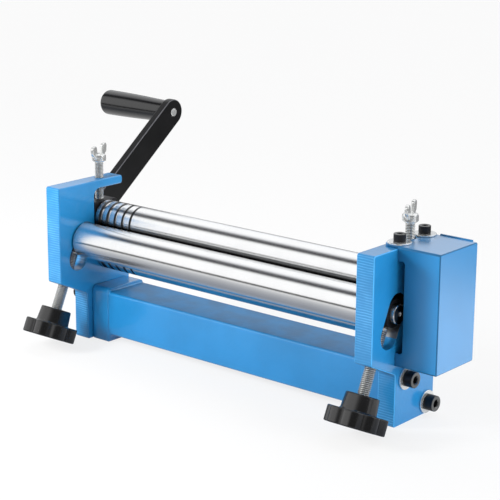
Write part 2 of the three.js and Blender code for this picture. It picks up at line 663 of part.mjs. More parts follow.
// Lobed knob: scalloped grip under a tapered hub that takes the screw
function knob() {
  const steps = LOBE_SIDES * KNOB_LOBES;
  const shape = new THREE.Shape();
  for (let i = 0; i < steps; i += 1) {
    const angle = 2 * Math.PI * i / steps;
    const wave = Math.abs(Math.sin(KNOB_LOBES * angle / 2));
    const radius = KNOB_RADIUS - KNOB_LOBE_DEPTH * (1 - wave);
    shape[i === 0 ? "moveTo" : "lineTo"](radius * Math.sin(angle), radius * Math.cos(angle));
  }
  shape.closePath();
  const gripTop = -KNOB_BOTTOM + KNOB_GRIP_HEIGHT;
  const centre = [PLATE_MIDDLE, FRONT_SETBACK, FRONT_Z];
  const grip = prism(shape, "slot", -KNOB_BOTTOM, gripTop, KNOB_EDGE).translate(centre);
  const hubRadius = KNOB_HUB_DIAMETER / 2;
  const hub = turned([
    [0, gripTop - JOIN_DEPTH], [hubRadius + KNOB_HUB_TAPER, gripTop - JOIN_DEPTH],
    [hubRadius, -HUB_TOP - KNOB_EDGE], [hubRadius - KNOB_EDGE, -HUB_TOP], [0, -HUB_TOP],
  ], "slot", centre, BARREL_SIDES);
  const socket = rod(SCREW_DIAMETER / 2 + SEAT_GAP, "slot", -HUB_TOP - KNOB_SOCKET_DEPTH,
    -HUB_TOP + CUT_PAST, centre, SCREW_SIDES);
  return grip.add(hub).subtract(socket);
}

// Wing bolt: button, neck, threaded stem, hub and two wings in one casting
function wingBolt() {
  const stem = WING_BOLT_DIAMETER / 2;
  const buttonTop = UPPER_Z + BLOCK_ABOVE - BUTTON_CAP - SEAT_GAP;
  const neckTop = UPPER_Z + BLOCK_ABOVE + SEAT_GAP;
  const hubZ = PLATE_TOP + WING_STAND;
  const hubTop = hubZ + WING_HUB_HEIGHT;
  const hub = WING_HUB_DIAMETER / 2;
  const profile = [
    [0, buttonTop - BUTTON_HEIGHT], [BUTTON_DIAMETER / 2, buttonTop - BUTTON_HEIGHT],
    [BUTTON_DIAMETER / 2, buttonTop], [NECK_DIAMETER / 2, buttonTop],
    [NECK_DIAMETER / 2, neckTop], [stem, neckTop + WING_HUB_EDGE], [stem, hubZ],
    [hub - WING_HUB_EDGE, hubZ], [hub, hubZ + WING_HUB_EDGE], [hub, hubTop - WING_HUB_ROUND],
    [hub - WING_HUB_ROUND, hubTop], [0, hubTop],
  ];
  const root = hubZ + 2 * WING_HUB_EDGE;
  const waist = hubTop - WING_HUB_EDGE;
  const tip = WING_SPAN / 2;
  const wing = outline([
    [0, root],
    [hub - WING_HUB_EDGE, root, WING_HUB_ROUND],
    [tip - WING_HUB_EDGE, hubZ + WING_SWEEP_HEIGHT, WING_SWEEP_RADIUS],
    [tip, hubZ + WING_RISE, WING_TIP_RADIUS],
    [tip - WING_TIP_WIDTH, hubZ + WING_RISE, WING_TIP_RADIUS],
    [hub - WING_HUB_ROUND, waist, WING_HUB_ROUND],
    [0, waist],
  ]);
  const half = WING_THICKNESS / 2;
  const oneWing = prism(wing, "y", -half, half);
  const wings = oneWing.add(oneWing.rotate([0, 0, 180])).rotate([0, 0, WING_TURN]);
  return turned(profile, "z", [0, 0, 0], SCREW_SIDES).add(wings).translate([PLATE_MIDDLE, REAR_Y, 0]);
}

// Socket head cap screw along an axis, its head's underside at seat and head outwards
function capScrew(diameter, length, axis, seat, centre) {
  const radius = diameter / 2;
  const head = CAP_HEAD * radius;
  const edge = CAP_EDGE * diameter;
  const top = seat + diameter;
  const body = turned([
    [0, seat - length], [radius, seat - length], [radius, seat],
    [head, seat], [head, top - edge], [head - edge, top], [0, top],
  ], axis, centre, SCREW_SIDES);
  const socketFloor = top - CAP_SOCKET_DEPTH * diameter;
  return body.subtract(hexagon(CAP_SOCKET * diameter, axis, socketFloor, top + CUT_PAST, centre));
}

// A hexagon bar of a width across its flats
function hexagon(width, axis, low, high, centre) {
  return rod(width / 2 / Math.cos(Math.PI / 6), axis, low, high, centre, 6);
}

function washer(boreRadius, outerRadius, thickness, axis, low, centre) {
  const high = low + thickness;
  return turned([
    [boreRadius, low], [outerRadius, low], [outerRadius, high], [boreRadius, high], [boreRadius, low],
  ], axis, centre);
}

// Folded cover over the gears: five walls, a tab on top of the side plate, and a front
// wall cut back from the plate except at its foot and its head
function gearCover() {
  const x0 = PLATE_OUTER + SEAT_GAP;
  const x1 = PLATE_OUTER + COVER_DEPTH;
  const y0 = REAR_Y - COVER_FRONT_REACH;
  const y1 = REAR_Y + COVER_BACK_REACH;
  const z0 = LOWER_Z - COVER_BELOW_SHAFT;
  const sheet = COVER_SHEET;
  const shell = prism(outline([
    [y0, z0, COVER_CORNER], [y1, z0, COVER_CORNER],
    [y1, COVER_TOP, COVER_CORNER], [y0, COVER_TOP, COVER_CORNER],
  ]), "x", x0, x1, COVER_EDGE);
  const past = x0 - CUT_PAST;
  const inside = block([past, y0 + sheet, z0 + sheet], [x1 - sheet, y1 - sheet, COVER_TOP - sheet]);
  const relief = block([past, y0 - CUT_PAST, z0 + COVER_FOOT],
    [x0 + COVER_RELIEF, y0 + 2 * sheet, COVER_TOP - COVER_FOOT]);
  const lip = block([x0 + COVER_LIP_INSET, y1 - sheet, COVER_TOP - sheet],
    [x1 - COVER_LIP_INSET, y1, COVER_TOP + COVER_LIP]);
  const tabEnd = PLATE_OUTER - COVER_TAB;
  const tab = prism(outline([
    [x0 + JOIN_DEPTH, y0 + COVER_EDGE],
    [x0 + JOIN_DEPTH, y1 - COVER_EDGE],
    [tabEnd, y1 - COVER_EDGE, COVER_TAB_CORNER],
    [tabEnd, y0 + COVER_EDGE, COVER_TAB_CORNER],
  ]), "z", COVER_TOP - sheet, COVER_TOP);
  const throughTab = (radius, x, y) =>
    rod(radius, "z", COVER_TOP - 2 * sheet, COVER_TOP + CUT_PAST, [x, y, 0]);
  return coverScrewPlaces().reduce(
    (cover, [x, y]) => cover.subtract(throughTab(COVER_SCREW_DIAMETER / 2 + SEAT_GAP, x, y)),
    shell.subtract(inside).subtract(relief).add(lip).add(tab)
      .subtract(throughTab(COVER_BOLT_HOLE / 2, PLATE_MIDDLE, REAR_Y)));
}

// The crank's local X runs from the shaft to the grip; it is turned to its place at the end
function onCrank(shape) {
  return shape.rotate([CRANK_ANGLE, 0, 0]).translate([0, REAR_Y, LOWER_Z]);
}

const SET_SCREW_X = CRANK_INNER + BOSS_LENGTH / 2;

function crankArm() {
  const radius = CRANK_WIDTH / 2;
  const shape = new THREE.Shape();
  shape.absarc(CRANK_RADIUS, 0, radius, -Math.PI / 2, Math.PI / 2, false);
  shape.absarc(0, 0, radius, Math.PI / 2, 3 * Math.PI / 2, false);
  shape.closePath();
  const bar = prism(shape, "x", CRANK_OUTER, CRANK_INNER, CRANK_EDGE, CRANK_END_SIDES);
  const bossRadius = BOSS_DIAMETER / 2;
  const bossEnd = CRANK_INNER + BOSS_LENGTH;
  const boss = turned([
    [0, CRANK_INNER - JOIN_DEPTH], [bossRadius, CRANK_INNER - JOIN_DEPTH],
    [bossRadius, bossEnd - BOSS_EDGE], [bossRadius - BOSS_EDGE, bossEnd], [0, bossEnd],
  ], "x", [0, 0, 0], BARREL_SIDES);
  const past = CRANK_OUTER - CUT_PAST;
  const bore = rod(DRIVE_RADIUS + RUNNING_GAP, "x", past, bossEnd + CUT_PAST, [0, 0, 0]);
  const pinHole = rod(PIN_DIAMETER / 2 + RUNNING_GAP, "x", past, CRANK_INNER + CUT_PAST,
    [0, CRANK_RADIUS, 0]);
  const tapped = rod(SET_SCREW_DIAMETER / 2 + SEAT_GAP, "y", -BOSS_DIAMETER, 0,
    [SET_SCREW_X, 0, 0], SCREW_SIDES);
  return onCrank(bar.add(boss).subtract(bore).subtract(pinHole).subtract(tapped));
}

function crankSetScrew() {
  const radius = SET_SCREW_DIAMETER / 2;
  const tip = -(DRIVE_RADIUS + SEAT_GAP);
  const back = -(BOSS_DIAMETER / 2 - SET_SCREW_EDGE);
  const centre = [SET_SCREW_X, 0, 0];
  const body = turned([
    [0, back], [radius, back], [radius, tip - SET_SCREW_EDGE], [radius - SET_SCREW_EDGE, tip], [0, tip],
  ], "y", centre, SCREW_SIDES);
  const socket = hexagon(radius, "y", back - CUT_PAST, back + SET_SCREW_SOCKET, centre);
  return onCrank(body.subtract(socket));
}

const GRIP_START = CRANK_OUTER - SEAT_GAP;
const GRIP_FINISH = GRIP_START - GRIP_LENGTH;

// The pin is riveted in the arm; its head, sunk in the grip's end, keeps the grip on
function crankPin() {
  const radius = PIN_DIAMETER / 2;
  const headLow = GRIP_FINISH + GRIP_RECESS_DEPTH - PIN_HEAD_HEIGHT - SEAT_GAP;
  const headHigh = headLow + PIN_HEAD_HEIGHT;
  const head = PIN_HEAD_DIAMETER / 2;
  const rivet = CRANK_INNER + PIN_EDGE;
  return onCrank(turned([
    [0, headLow], [head - PIN_EDGE, headLow], [head, headLow + PIN_EDGE], [head, headHigh],
    [radius, headHigh], [radius, CRANK_INNER], [radius - PIN_EDGE, rivet], [0, rivet],
  ], "x", [0, CRANK_RADIUS, 0], SCREW_SIDES));
}

function crankGrip() {
  const bore = PIN_DIAMETER / 2 + SEAT_GAP;
  const recess = PIN_HEAD_DIAMETER / 2 + SEAT_GAP;
  const outer = GRIP_OUTER_DIAMETER / 2;
  const inner = GRIP_INNER_DIAMETER / 2;
  const corner = GRIP_END_RADIUS;
  const neck = GRIP_START - GRIP_EDGE;
  const profile = [[bore, GRIP_START], [inner - GRIP_EDGE, GRIP_START], [inner, neck]];
  // the swell from the narrow neck to the palm end
  for (let step = 1; step <= SWELL_SIDES; step += 1) {
    const share = step / SWELL_SIDES;
    const radius = inner + (outer - inner) * Math.sin(share * Math.PI / 2);
    profile.push([radius, neck - share * (GRIP_LENGTH - GRIP_EDGE - corner)]);
  }
  for (let step = 1; step <= ROUND_END_SIDES; step += 1) {
    const angle = Math.PI / 2 * step / ROUND_END_SIDES;
    const radius = outer - corner + corner * Math.cos(angle);
    profile.push([radius, GRIP_FINISH + corner - corner * Math.sin(angle)]);
  }
  const shoulder = GRIP_FINISH + GRIP_RECESS_DEPTH;
  profile.push([recess, GRIP_FINISH], [recess, shoulder], [bore, shoulder], [bore, GRIP_START]);
  return onCrank(turned(profile, "x", [0, CRANK_RADIUS, 0]));
}

const machine = new THREE.Group();

function place(name, shape, material) {
  machine.add(pieceMesh(name, shape, material));
}

// A piece and its mirror image on the other side of the machine
function placePair(name, shape, material) {
  place(`right_${name}`, shape, material);
  place(`left_${name}`, mirrored(shape), material);
}

place("right_side_plate", rightPlate(), paint);
place("left_side_plate", mirrored(sidePlate()), paint);
place("cross_beam", crossBeam(), paint);
place("lower_roller", lowerRoller(), chrome);
place("upper_roller", upperRoller(), chrome);
place("bending_roller", frontRoller(), chrome);
placePair("lower_bush", lowerBush(), bronze);
placePair("upper_block", upperBlock(), blackOxide);
placePair("bending_block", bendingBlock(), blackOxide);
placePair("adjusting_screw", adjustingScrew(), zinc);
placePair("knob", knob(), blackPlastic);
place("right_wing_bolt", wingBolt(), zinc);
place("left_wing_bolt", wingBolt().translate([-2 * PLATE_MIDDLE, 0, 0]), zinc);

const TOOTH_ANGLE = 2 * Math.PI / GEAR_TEETH;
place("lower_gear", gear(LOWER_Z, -1, Math.PI / 2), steel);
place("upper_gear", gear(UPPER_Z, 1, -Math.PI / 2 + TOOTH_ANGLE / 2), steel);
place("lower_gear_key", gearKey(LOWER_Z, -1), steel);
place("upper_gear_key", gearKey(UPPER_Z, 1), steel);
place("lower_gear_ring", ringOn(DRIVE_RADIUS, RING_START, REAR_Y, LOWER_Z), blackOxide);
place("upper_gear_ring", ringOn(DRIVE_RADIUS, RING_START, REAR_Y, UPPER_Z), blackOxide);

place("gear_cover", gearCover(), paint);
coverScrewPlaces().forEach(([x, y], i) => {
  const end = ["front", "back"][i];
  const seat = COVER_TOP + SEAT_GAP / 2;
  const head = seat + COVER_WASHER_THICKNESS + SEAT_GAP / 2;
  const bore = COVER_SCREW_DIAMETER / 2 + SEAT_GAP;
  const centre = [x, y, 0];
  place(`cover_washer_${end}`,
    washer(bore, COVER_WASHER_DIAMETER / 2, COVER_WASHER_THICKNESS, "z", seat, centre), zinc);
  place(`cover_screw_${end}`,
    capScrew(COVER_SCREW_DIAMETER, COVER_SCREW_LENGTH, "z", head, centre), blackOxide);
});

beamScrewPlaces().forEach(([y, z], i) => {
  const level = ["upper", "lower"][i];
  const seat = PLATE_OUTER + SEAT_GAP / 2;
  const head = seat + BEAM_WASHER_THICKNESS + SEAT_GAP / 2;
  const bore = BEAM_SCREW_DIAMETER / 2 + SEAT_GAP;
  const length = head - PLATE_INNER + BEAM_SCREW_GRIP;
  placePair(`${level}_beam_washer`,
    washer(bore, BEAM_WASHER_DIAMETER / 2, BEAM_WASHER_THICKNESS, "x", seat, [0, y, z]), zinc);
  placePair(`${level}_beam_screw`, capScrew(BEAM_SCREW_DIAMETER, length, "x", head, [0, y, z]), blackOxide);
});

place("crank_arm", crankArm(), blackPlastic);
place("crank_set_screw", crankSetScrew(), blackOxide);
place("crank_pin", crankPin(), zinc);
place("crank_grip", crankGrip(), blackPlastic);

// The origin lies under the middle of the whole machine's box
machine.updateMatrixWorld(true);
const bounds = new THREE.Box3().setFromObject(machine);
machine.position.set(-(bounds.min.x + bounds.max.x) / 2, -(bounds.min.y + bounds.max.y) / 2, -bounds.min.z);

export default machine;
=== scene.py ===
import json
import math

import bmesh
import bpy
from mathutils import Matrix, Vector

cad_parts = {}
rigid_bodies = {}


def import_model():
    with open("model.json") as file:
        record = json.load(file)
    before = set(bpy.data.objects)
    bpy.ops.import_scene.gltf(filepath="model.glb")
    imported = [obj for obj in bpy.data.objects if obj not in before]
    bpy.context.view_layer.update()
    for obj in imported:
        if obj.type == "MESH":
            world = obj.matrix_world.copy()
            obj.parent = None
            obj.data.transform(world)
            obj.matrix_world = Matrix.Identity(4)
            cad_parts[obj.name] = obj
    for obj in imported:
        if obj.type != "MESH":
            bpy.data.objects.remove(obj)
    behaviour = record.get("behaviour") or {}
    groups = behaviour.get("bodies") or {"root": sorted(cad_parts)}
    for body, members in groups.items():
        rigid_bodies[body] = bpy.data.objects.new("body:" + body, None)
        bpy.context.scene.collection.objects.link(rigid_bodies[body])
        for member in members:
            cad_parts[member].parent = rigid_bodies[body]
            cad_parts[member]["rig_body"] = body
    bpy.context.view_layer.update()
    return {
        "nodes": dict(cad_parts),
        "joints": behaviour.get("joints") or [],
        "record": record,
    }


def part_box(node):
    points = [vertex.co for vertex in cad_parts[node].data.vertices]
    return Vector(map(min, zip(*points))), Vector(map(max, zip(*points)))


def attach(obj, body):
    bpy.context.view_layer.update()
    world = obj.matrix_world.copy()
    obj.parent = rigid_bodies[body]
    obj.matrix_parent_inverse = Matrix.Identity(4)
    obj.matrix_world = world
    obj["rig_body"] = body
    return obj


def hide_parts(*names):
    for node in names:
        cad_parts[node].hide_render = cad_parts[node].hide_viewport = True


bl_info = {
    "name": "Bench Slip Roll",
    "version": (1, 0, 0),
    "blender": (4, 5, 0),
    "location": "3D View > Sidebar > Slip Roll",
    "description": "Enamelled castings, ground rollers and fittings of a bench slip roll",
    "category": "Object",
}

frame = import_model()
RECORD = frame["record"]

# The machine's own axes, in metres: X along the rollers from the middle between the side
# plates, Y back from the plates' front faces, Z up from the feet
_right_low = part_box("right_side_plate")[0]
_left_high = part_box("left_side_plate")[1]
ORIGIN = Vector(((_right_low.x + _left_high.x) / 2, _right_low.y, 0))


def machine_box(node):
    """Low and high corners of a node, on the machine's own axes."""
    low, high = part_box(node)
    return low - ORIGIN, high - ORIGIN


def axis_of(node):
    """Y and Z of the axis of a node that lies along X."""
    low, high = machine_box(node)
    return Vector(((low.y + high.y) / 2, (low.z + high.z) / 2))


# Places that the frame gives
PLATE_LOW, PLATE_HIGH = machine_box("right_side_plate")
PLATE_INNER, PLATE_OUTER = PLATE_LOW.x, PLATE_HIGH.x
PLATE_MIDDLE = (PLATE_INNER + PLATE_OUTER) / 2
PLATE_TOP, PLATE_BACK = PLATE_HIGH.z, PLATE_HIGH.y
LOWER_AXIS = axis_of("right_lower_bush")
UPPER_ROLLER_LOW, UPPER_ROLLER_HIGH = machine_box("upper_roller")
UPPER_AXIS = axis_of("upper_roller")
BENDING_AXIS = axis_of("bending_roller")
REAR_Y = LOWER_AXIS.x
ROLLER_RADIUS = (UPPER_ROLLER_HIGH.z - UPPER_ROLLER_LOW.z) / 2
BLOCK_LOW, BLOCK_HIGH = machine_box("right_upper_block")
BUSH_LOW, BUSH_HIGH = machine_box("right_lower_bush")
BUSH_RADIUS = (BUSH_HIGH.z - BUSH_LOW.z) / 2
COVER_LOW, COVER_HIGH = machine_box("gear_cover")
BEAM_LOW, BEAM_HIGH = machine_box("cross_beam")
ARM_LOW, ARM_HIGH = machine_box("crank_arm")
GRIP_LOW, GRIP_HIGH = machine_box("crank_grip")
PIN_LOW, PIN_HIGH = machine_box("crank_pin")
GEAR_LOW, GEAR_HIGH = machine_box("lower_gear")
WING_LOW = machine_box("right_wing_bolt")[0]
SLOT_AXIS = Vector(next(j["axis"] for j in frame["joints"] if j["name"] == "bending_slide"))
SLOT_TILT = math.atan2(SLOT_AXIS.y, SLOT_AXIS.z)
CRANK_PIN_AXIS = axis_of("crank_pin")
CRANK_ANGLE = math.atan2(CRANK_PIN_AXIS.y - LOWER_AXIS.y, CRANK_PIN_AXIS.x - LOWER_AXIS.x)
CRANK_RADIUS = (CRANK_PIN_AXIS - LOWER_AXIS).length

# Sizes that no box of the frame gives, in metres. PAST is how far a cut runs out of its piece.
SEAT_GAP = 0.0003
RUNNING_GAP = 0.00015
PAST = 0.001
ROLLER_HALF = 0.160
JOURNAL_RADIUS = 0.009
BENDING_JOURNAL_RADIUS = 0.008
DRIVE_RADIUS = 0.008
GROOVE_WIDTHS = (0.005, 0.0044, 0.0038, 0.0032, 0.0026)
GROOVE_START = 0.007
GROOVE_PITCH = 0.009
GROOVE_DEPTH = 0.0022
SLOT_WIDTH = 0.022
SLOT_DOWN = 0.029
SLOT_UP = 0.01625
SLOT_LAND = 0.0159
ARM_THICKNESS = 0.0076
ARM_OVERHANG = 0.0069
BACK_WALL_TOP = UPPER_AXIS.y + 0.0034
NOTCH_FRONT = BLOCK_LOW.y - SEAT_GAP
NOTCH_BACK = BLOCK_HIGH.y + SEAT_GAP
NOTCH_FLOOR = BUSH_HIGH.z + 0.0045
LEG_DEPTH = 0.0544
BEAM_TOP = 0.047
BEAM_UNDERSIDE = 0.007
BEAM_WALL = 0.009
BEAM_FRONT = 0.0388
BEAM_BACK = 0.0838
PAD_THICKNESS = 0.020
BEAM_HOLE_RADIUS = 0.0043
BEAM_HOLE_DEPTH = 0.014
COVER_HOLE_RADIUS = 0.0033
COVER_HOLE_DEPTH = 0.012
WASHER_RADIUS = 0.0095
BENDING_BLOCK_REACH = 0.0115
BUTTON_RADIUS = 0.0055
BUTTON_NECK_RADIUS = 0.003
BUTTON_SLOT_TOP = BLOCK_HIGH.z - 0.002
BUTTON_SLOT_HEIGHT = 0.0024
SCREW_RADIUS = 0.005
SCREW_PITCH = 0.0015
WING_SCREW_RADIUS = 0.004
WING_SCREW_PITCH = 0.00125
KNOB_LOBES = 8
KNOB_RADIUS = 0.0245
KNOB_OFF_FLOOR = 0.0008
KNOB_GRIP_HEIGHT = 0.013
KNOB_HUB_RADIUS = 0.0135
KNOB_HUB_HEIGHT = 0.0135
KNOB_SOCKET_DEPTH = 0.016
COVER_SHEET = 0.0015
COVER_TAB = 0.0153
COVER_TAB_CORNER = 0.007
COVER_RELIEF = 0.0067
COVER_FOOT = 0.011
COVER_LIP = 0.001
COVER_LIP_INSET = 0.0045
GEAR_TEETH = 16
GEAR_BACKLASH = 0.00042
PRESSURE_ANGLE = math.radians(20)
KEY_SIZE = 0.005
KEY_REACH = 0.0027
KEYWAY_DEPTH = 0.0026

ALONG_X = Matrix(((0, 0, 1, 0), (1, 0, 0, 0), (0, 1, 0, 0), (0, 0, 0, 1)))
FRONT_VIEW = Matrix(((1, 0, 0, 0), (0, 0, 1, 0), (0, 1, 0, 0), (0, 0, 0, 1)))
UPRIGHT = Matrix.Identity(4)
QUARTER_TURN = math.pi / 2
HALF_TURN = math.pi
FULL_TURN = 2 * math.pi
SHARP_ANGLE = math.radians(32)


def on_slot(along):
    """Y and Z of a point on the slanted slot's line, a distance up it from the bending roller."""
    return BENDING_AXIS + Vector((SLOT_AXIS.y, SLOT_AXIS.z)) * along


def slot_place(x=0):
    """Matrix that stands a piece on the slot's line, at a place along X, its Z up the slot."""
    return Matrix.Translation((x, *BENDING_AXIS)) @ Matrix.Rotation(-SLOT_TILT, 4, "X")


def lying(axis, x=0):
    """Matrix that lays a piece's Z along X, on an axis given by its Y and Z."""
    return Matrix.Translation((x, *axis)) @ ALONG_X


def standing(x):
    """Matrix that stands a piece over the rear rollers, at a place along X."""
    return Matrix.Translation((x, REAR_Y, 0))


def crank_place():
    """Matrix of the crank: Z along the rollers, X from the shaft to the grip."""
    return Matrix.Translation((0, *LOWER_AXIS)) @ Matrix.Rotation(CRANK_ANGLE, 4, "X") @ ALONG_X


# Outlines and solids

def rounded(corners, steps=8):
    """Points of a closed outline through corners (a, b, radius)."""
    places = [Vector(corner[:2]) for corner in corners]
    points = []
    for i, here in enumerate(places):
        radius = corners[i][2] if len(corners[i]) > 2 else 0
        if not radius:
            points.append(here)
            continue
        before = (places[i - 1] - here).normalized()
        after = (places[(i + 1) % len(places)] - here).normalized()
        half = before.angle(after) / 2
        centre = here + (before + after).normalized() * radius / math.sin(half)
        start = here + before * radius / math.tan(half) - centre
        end = here + after * radius / math.tan(half) - centre
        first = math.atan2(start.y, start.x)
        turn = math.remainder(math.atan2(end.y, end.x) - first, FULL_TURN)
        for step in range(steps + 1):
            angle = first + turn * step / steps
            points.append(centre + radius * Vector((math.cos(angle), math.sin(angle))))
    return points


def ring(radius, steps=64, centre=(0, 0)):
    """Points of a circle."""
    angles = [FULL_TURN * step / steps for step in range(steps)]
    return [Vector(centre) + radius * Vector((math.cos(a), math.sin(a))) for a in angles]


def rectangle(low, high):
    """Outline between two opposite corners."""
    return [Vector(low), Vector((high[0], low[1])), Vector(high), Vector((low[0], high[1]))]


def rounded_rectangle(low, high, corner):
    """Outline between two opposite corners, with all four rounded."""
    return rounded([(*point, corner) for point in rectangle(low, high)])


def obround(width, up, down, steps=12):
    """Outline with round ends, so far up and down from its middle."""
    half = width / 2
    ends = [(-half, -down), (half, -down), (half, up), (-half, up)]
    return rounded([(*end, half) for end in ends], steps)


def slab(rings, low, high, edge=0.0, place=UPRIGHT):
    """Closed solid: an outline with holes, swept along Z from low to high, its edges rounded."""
    outline = bpy.data.curves.new("outline", "CURVE")
    outline.dimensions = "2D"
    outline.fill_mode = "BOTH"
    outline.extrude = (high - low) / 2 - edge
    outline.bevel_depth = edge
    outline.bevel_resolution = 3
    outline.offset = -edge
    for points in rings:
        spline = outline.splines.new("POLY")
        spline.points.add(len(points) - 1)
        for knot, point in zip(spline.points, points):
            knot.co = (point[0], point[1], 0, 1)
        spline.use_cyclic_u = True
    mesh = evaluated(outline)
    bpy.data.curves.remove(outline)
    middle = Matrix.Translation((0, 0, (low + high) / 2))
    return cleaned(mesh, place @ middle)


def evaluated(data, modifiers=()):
    """Mesh of a curve or mesh as it comes out of an object with these boolean modifiers."""
    scene = bpy.context.scene
    carrier = bpy.data.objects.new("blank", data)
    scene.collection.objects.link(carrier)
    helpers = []
    for operation, tool in modifiers:
        helper = bpy.data.objects.new("tool", tool)
        scene.collection.objects.link(helper)
        modifier = carrier.modifiers.new(operation, "BOOLEAN")
        modifier.operation = operation
        modifier.solver = "EXACT"
        modifier.object = helper
        helpers.append(helper)
    bpy.context.view_layer.update()
    graph = bpy.context.evaluated_depsgraph_get()
    mesh = bpy.data.meshes.new_from_object(carrier.evaluated_get(graph))
    for helper in [carrier, *helpers]:
        bpy.data.objects.remove(helper)
    return mesh


def cleaned(mesh, place=UPRIGHT):
    """The mesh at its place, with doubled points merged and its faces outwards."""
    work = bmesh.new()
    work.from_mesh(mesh)
    bmesh.ops.transform(work, matrix=place, verts=work.verts)
    bmesh.ops.remove_doubles(work, verts=work.verts, dist=1e-7)
    bmesh.ops.recalc_face_normals(work, faces=work.faces)
    work.to_mesh(mesh)
    work.free()
    mesh.materials.clear()
    return mesh


def lathe(profile, sides=72, pitch=None, place=UPRIGHT):
    """Closed solid: a profile of (radius, along) turned about Z. A third number is the depth
    of the screw thread there, and a profile that starts off the axis is a closed loop."""
    work = bmesh.new()
    rows = []
    for radius, along, *cut in profile:
        if radius == 0:
            rows.append([work.verts.new((0, 0, along))] * sides)
            continue
        row = []
        for k in range(sides):
            depth = cut[0] * thread_groove(along / pitch - k / sides) if cut else 0
            angle = FULL_TURN * k / sides
            reach = radius - depth
            row.append(work.verts.new((reach * math.cos(angle), reach * math.sin(angle), along)))
        rows.append(row)
    pairs = list(zip(rows, rows[1:]))
    if profile[0][0] > 0:
        pairs.append((rows[-1], rows[0]))
    for low, high in pairs:
        for k in range(sides):
            corners = [low[k - 1], low[k], high[k], high[k - 1]]
            work.faces.new(list(dict.fromkeys(corners)))
    mesh = bpy.data.meshes.new("turned")
    work.to_mesh(mesh)
    work.free()
    return cleaned(mesh, place)


def thread_groove(phase):
    """Depth of a thread's groove, 0 at the crest to 1 at the root, over one pitch."""
    steepness, crest = 1.35, 0.12
    flank = abs(2 * (phase % 1) - 1)
    return min(1, max(0, steepness * (1 - flank) - crest))


def threaded(radius, low, high, pitch, rows=8):
    """Profile rows of a screw thread from low to high, which fades over a pitch at each end."""
    count = math.ceil((high - low) / pitch * rows)
    depth = 0.5 * pitch
    levels = [low + (high - low) * i / count for i in range(count + 1)]
    return [(radius, z, depth * min(1, (z - low) / pitch, (high - z) / pitch)) for z in levels]


def mark_roots(mesh, radius, pitch, low, high):
    """Gives the roots of a screw's thread, between low and high, the piece's second finish, a painted
    shade.
    """
    root_depth = 0.36 * pitch
    root = radius - root_depth
    mark_faces(mesh, 1, lambda centre, normal: centre.xy.length < root and low < centre.z < high)


def bar(radius, low, high, place=UPRIGHT, sides=48):
    """Closed solid: a plain round bar, or the drill for a hole."""
    return lathe([(0, low), (radius, low), (radius, high), (0, high)], sides, place=place)


def broken_rim(radius, end, edge, side):
    """Profile rows of a rim with its edge broken, towards its end; side is which way that is."""
    belly = 0.3 * edge
    return [(radius, end - side * edge), (radius - belly, end - side * belly), (radius - edge, end)]


def round_rim(radius, end, corner, side, steps):
    """Profile rows of a rim's quarter circle, towards its end; side is which way that is."""
    angles = [QUARTER_TURN * step / steps for step in range(1, steps + 1)]
    return [(radius - corner * (1 - math.cos(angle)), end - side * corner * (1 - math.sin(angle)))
            for angle in angles]


def combine(mesh, operation, *tools):
    """The mesh joined with, or cut by, other closed meshes."""
    return cleaned(evaluated(mesh, [(operation, tool) for tool in tools]))


def mirrored(mesh):
    """A copy of the mesh for the machine's other side."""
    return cleaned(mesh.copy(), Matrix.Scale(-1, 4, (1, 0, 0)))


SLOT_OF = {part["node"]: part["material_slot"] for part in RECORD["subparts"]}


def add_piece(node, mesh, place=UPRIGHT, finishes=(), stand=UPRIGHT):
    """A finished piece that stands for a node: it rides on the node's body and takes the
    material slot that the record gives the node. Its mesh is moved to a place; stand turns
    the whole object, so that a ground roller's Z stays its own axis."""
    mesh.name = f"finished_{node}"
    mesh.transform(place)
    for polygon in mesh.polygons:
        polygon.use_smooth = True
    mesh.set_sharp_from_angle(angle=SHARP_ANGLE)
    for name in [SLOT_OF[node], *finishes]:
        mesh.materials.append(finish(name))
    piece = bpy.data.objects.new(mesh.name, mesh)
    bpy.context.scene.collection.objects.link(piece)
    piece.matrix_world = Matrix.Translation(ORIGIN) @ stand
    shading = piece.modifiers.new("even shading", "WEIGHTED_NORMAL")
    shading.keep_sharp = True
    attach(piece, frame["nodes"][node]["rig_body"])
    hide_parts(node)
    return piece


def finish_solid(node):
    """Gives a solid that shows as the frame has it the finish of its slot."""
    mesh = frame["nodes"][node].data
    mesh.materials.clear()
    mesh.materials.append(finish(SLOT_OF[node]))


def mark_faces(mesh, index, chosen):
    """Gives the faces for which chosen(centre, normal) holds another of the piece's finishes,
    counted from its slot's own, which is 0."""
    for polygon in mesh.polygons:
        if chosen(polygon.center, polygon.normal):
            polygon.material_index = index


# Finishes

class Level:
    """A socket of a material's nodes; arithmetic on it adds Math nodes."""

    def __init__(self, nodes, socket):
        self.nodes = nodes
        self.socket = socket

    def math(self, operation, *values):
        """The result of a Math node."""
        return self.nodes.add("ShaderNodeMath", {"operation": operation}, dict(enumerate(values))).out()

    def __add__(self, other):
        return self.math("ADD", self, other)

    def __sub__(self, other):
        return self.math("SUBTRACT", self, other)

    def __mul__(self, other):
        return self.math("MULTIPLY", self, other)

    def __truediv__(self, other):
        return self.math("DIVIDE", self, other)

    def __rsub__(self, other):
        return self.math("SUBTRACT", other, self)

    def __rtruediv__(self, other):
        return self.math("DIVIDE", other, self)

    def __neg__(self):
        return self.math("MULTIPLY", self, -1)

    __radd__ = __add__
    __rmul__ = __mul__

    def size(self):
        """How far the value is from 0."""
        return self.math("ABSOLUTE", self)

    def above(self, low, high):
        """0 below low, 1 above high, and smooth in between."""
        made = self.nodes.add(
            "ShaderNodeMapRange", {"interpolation_type": "SMOOTHSTEP"},
            {"Value": self, "From Min": low, "From Max": high})
        return made.out()


class Node:
    """One node of a material."""

    def __init__(self, nodes, made):
        self.nodes = nodes
        self.made = made

    def out(self, name=0):
        return Level(self.nodes, self.made.outputs[name])


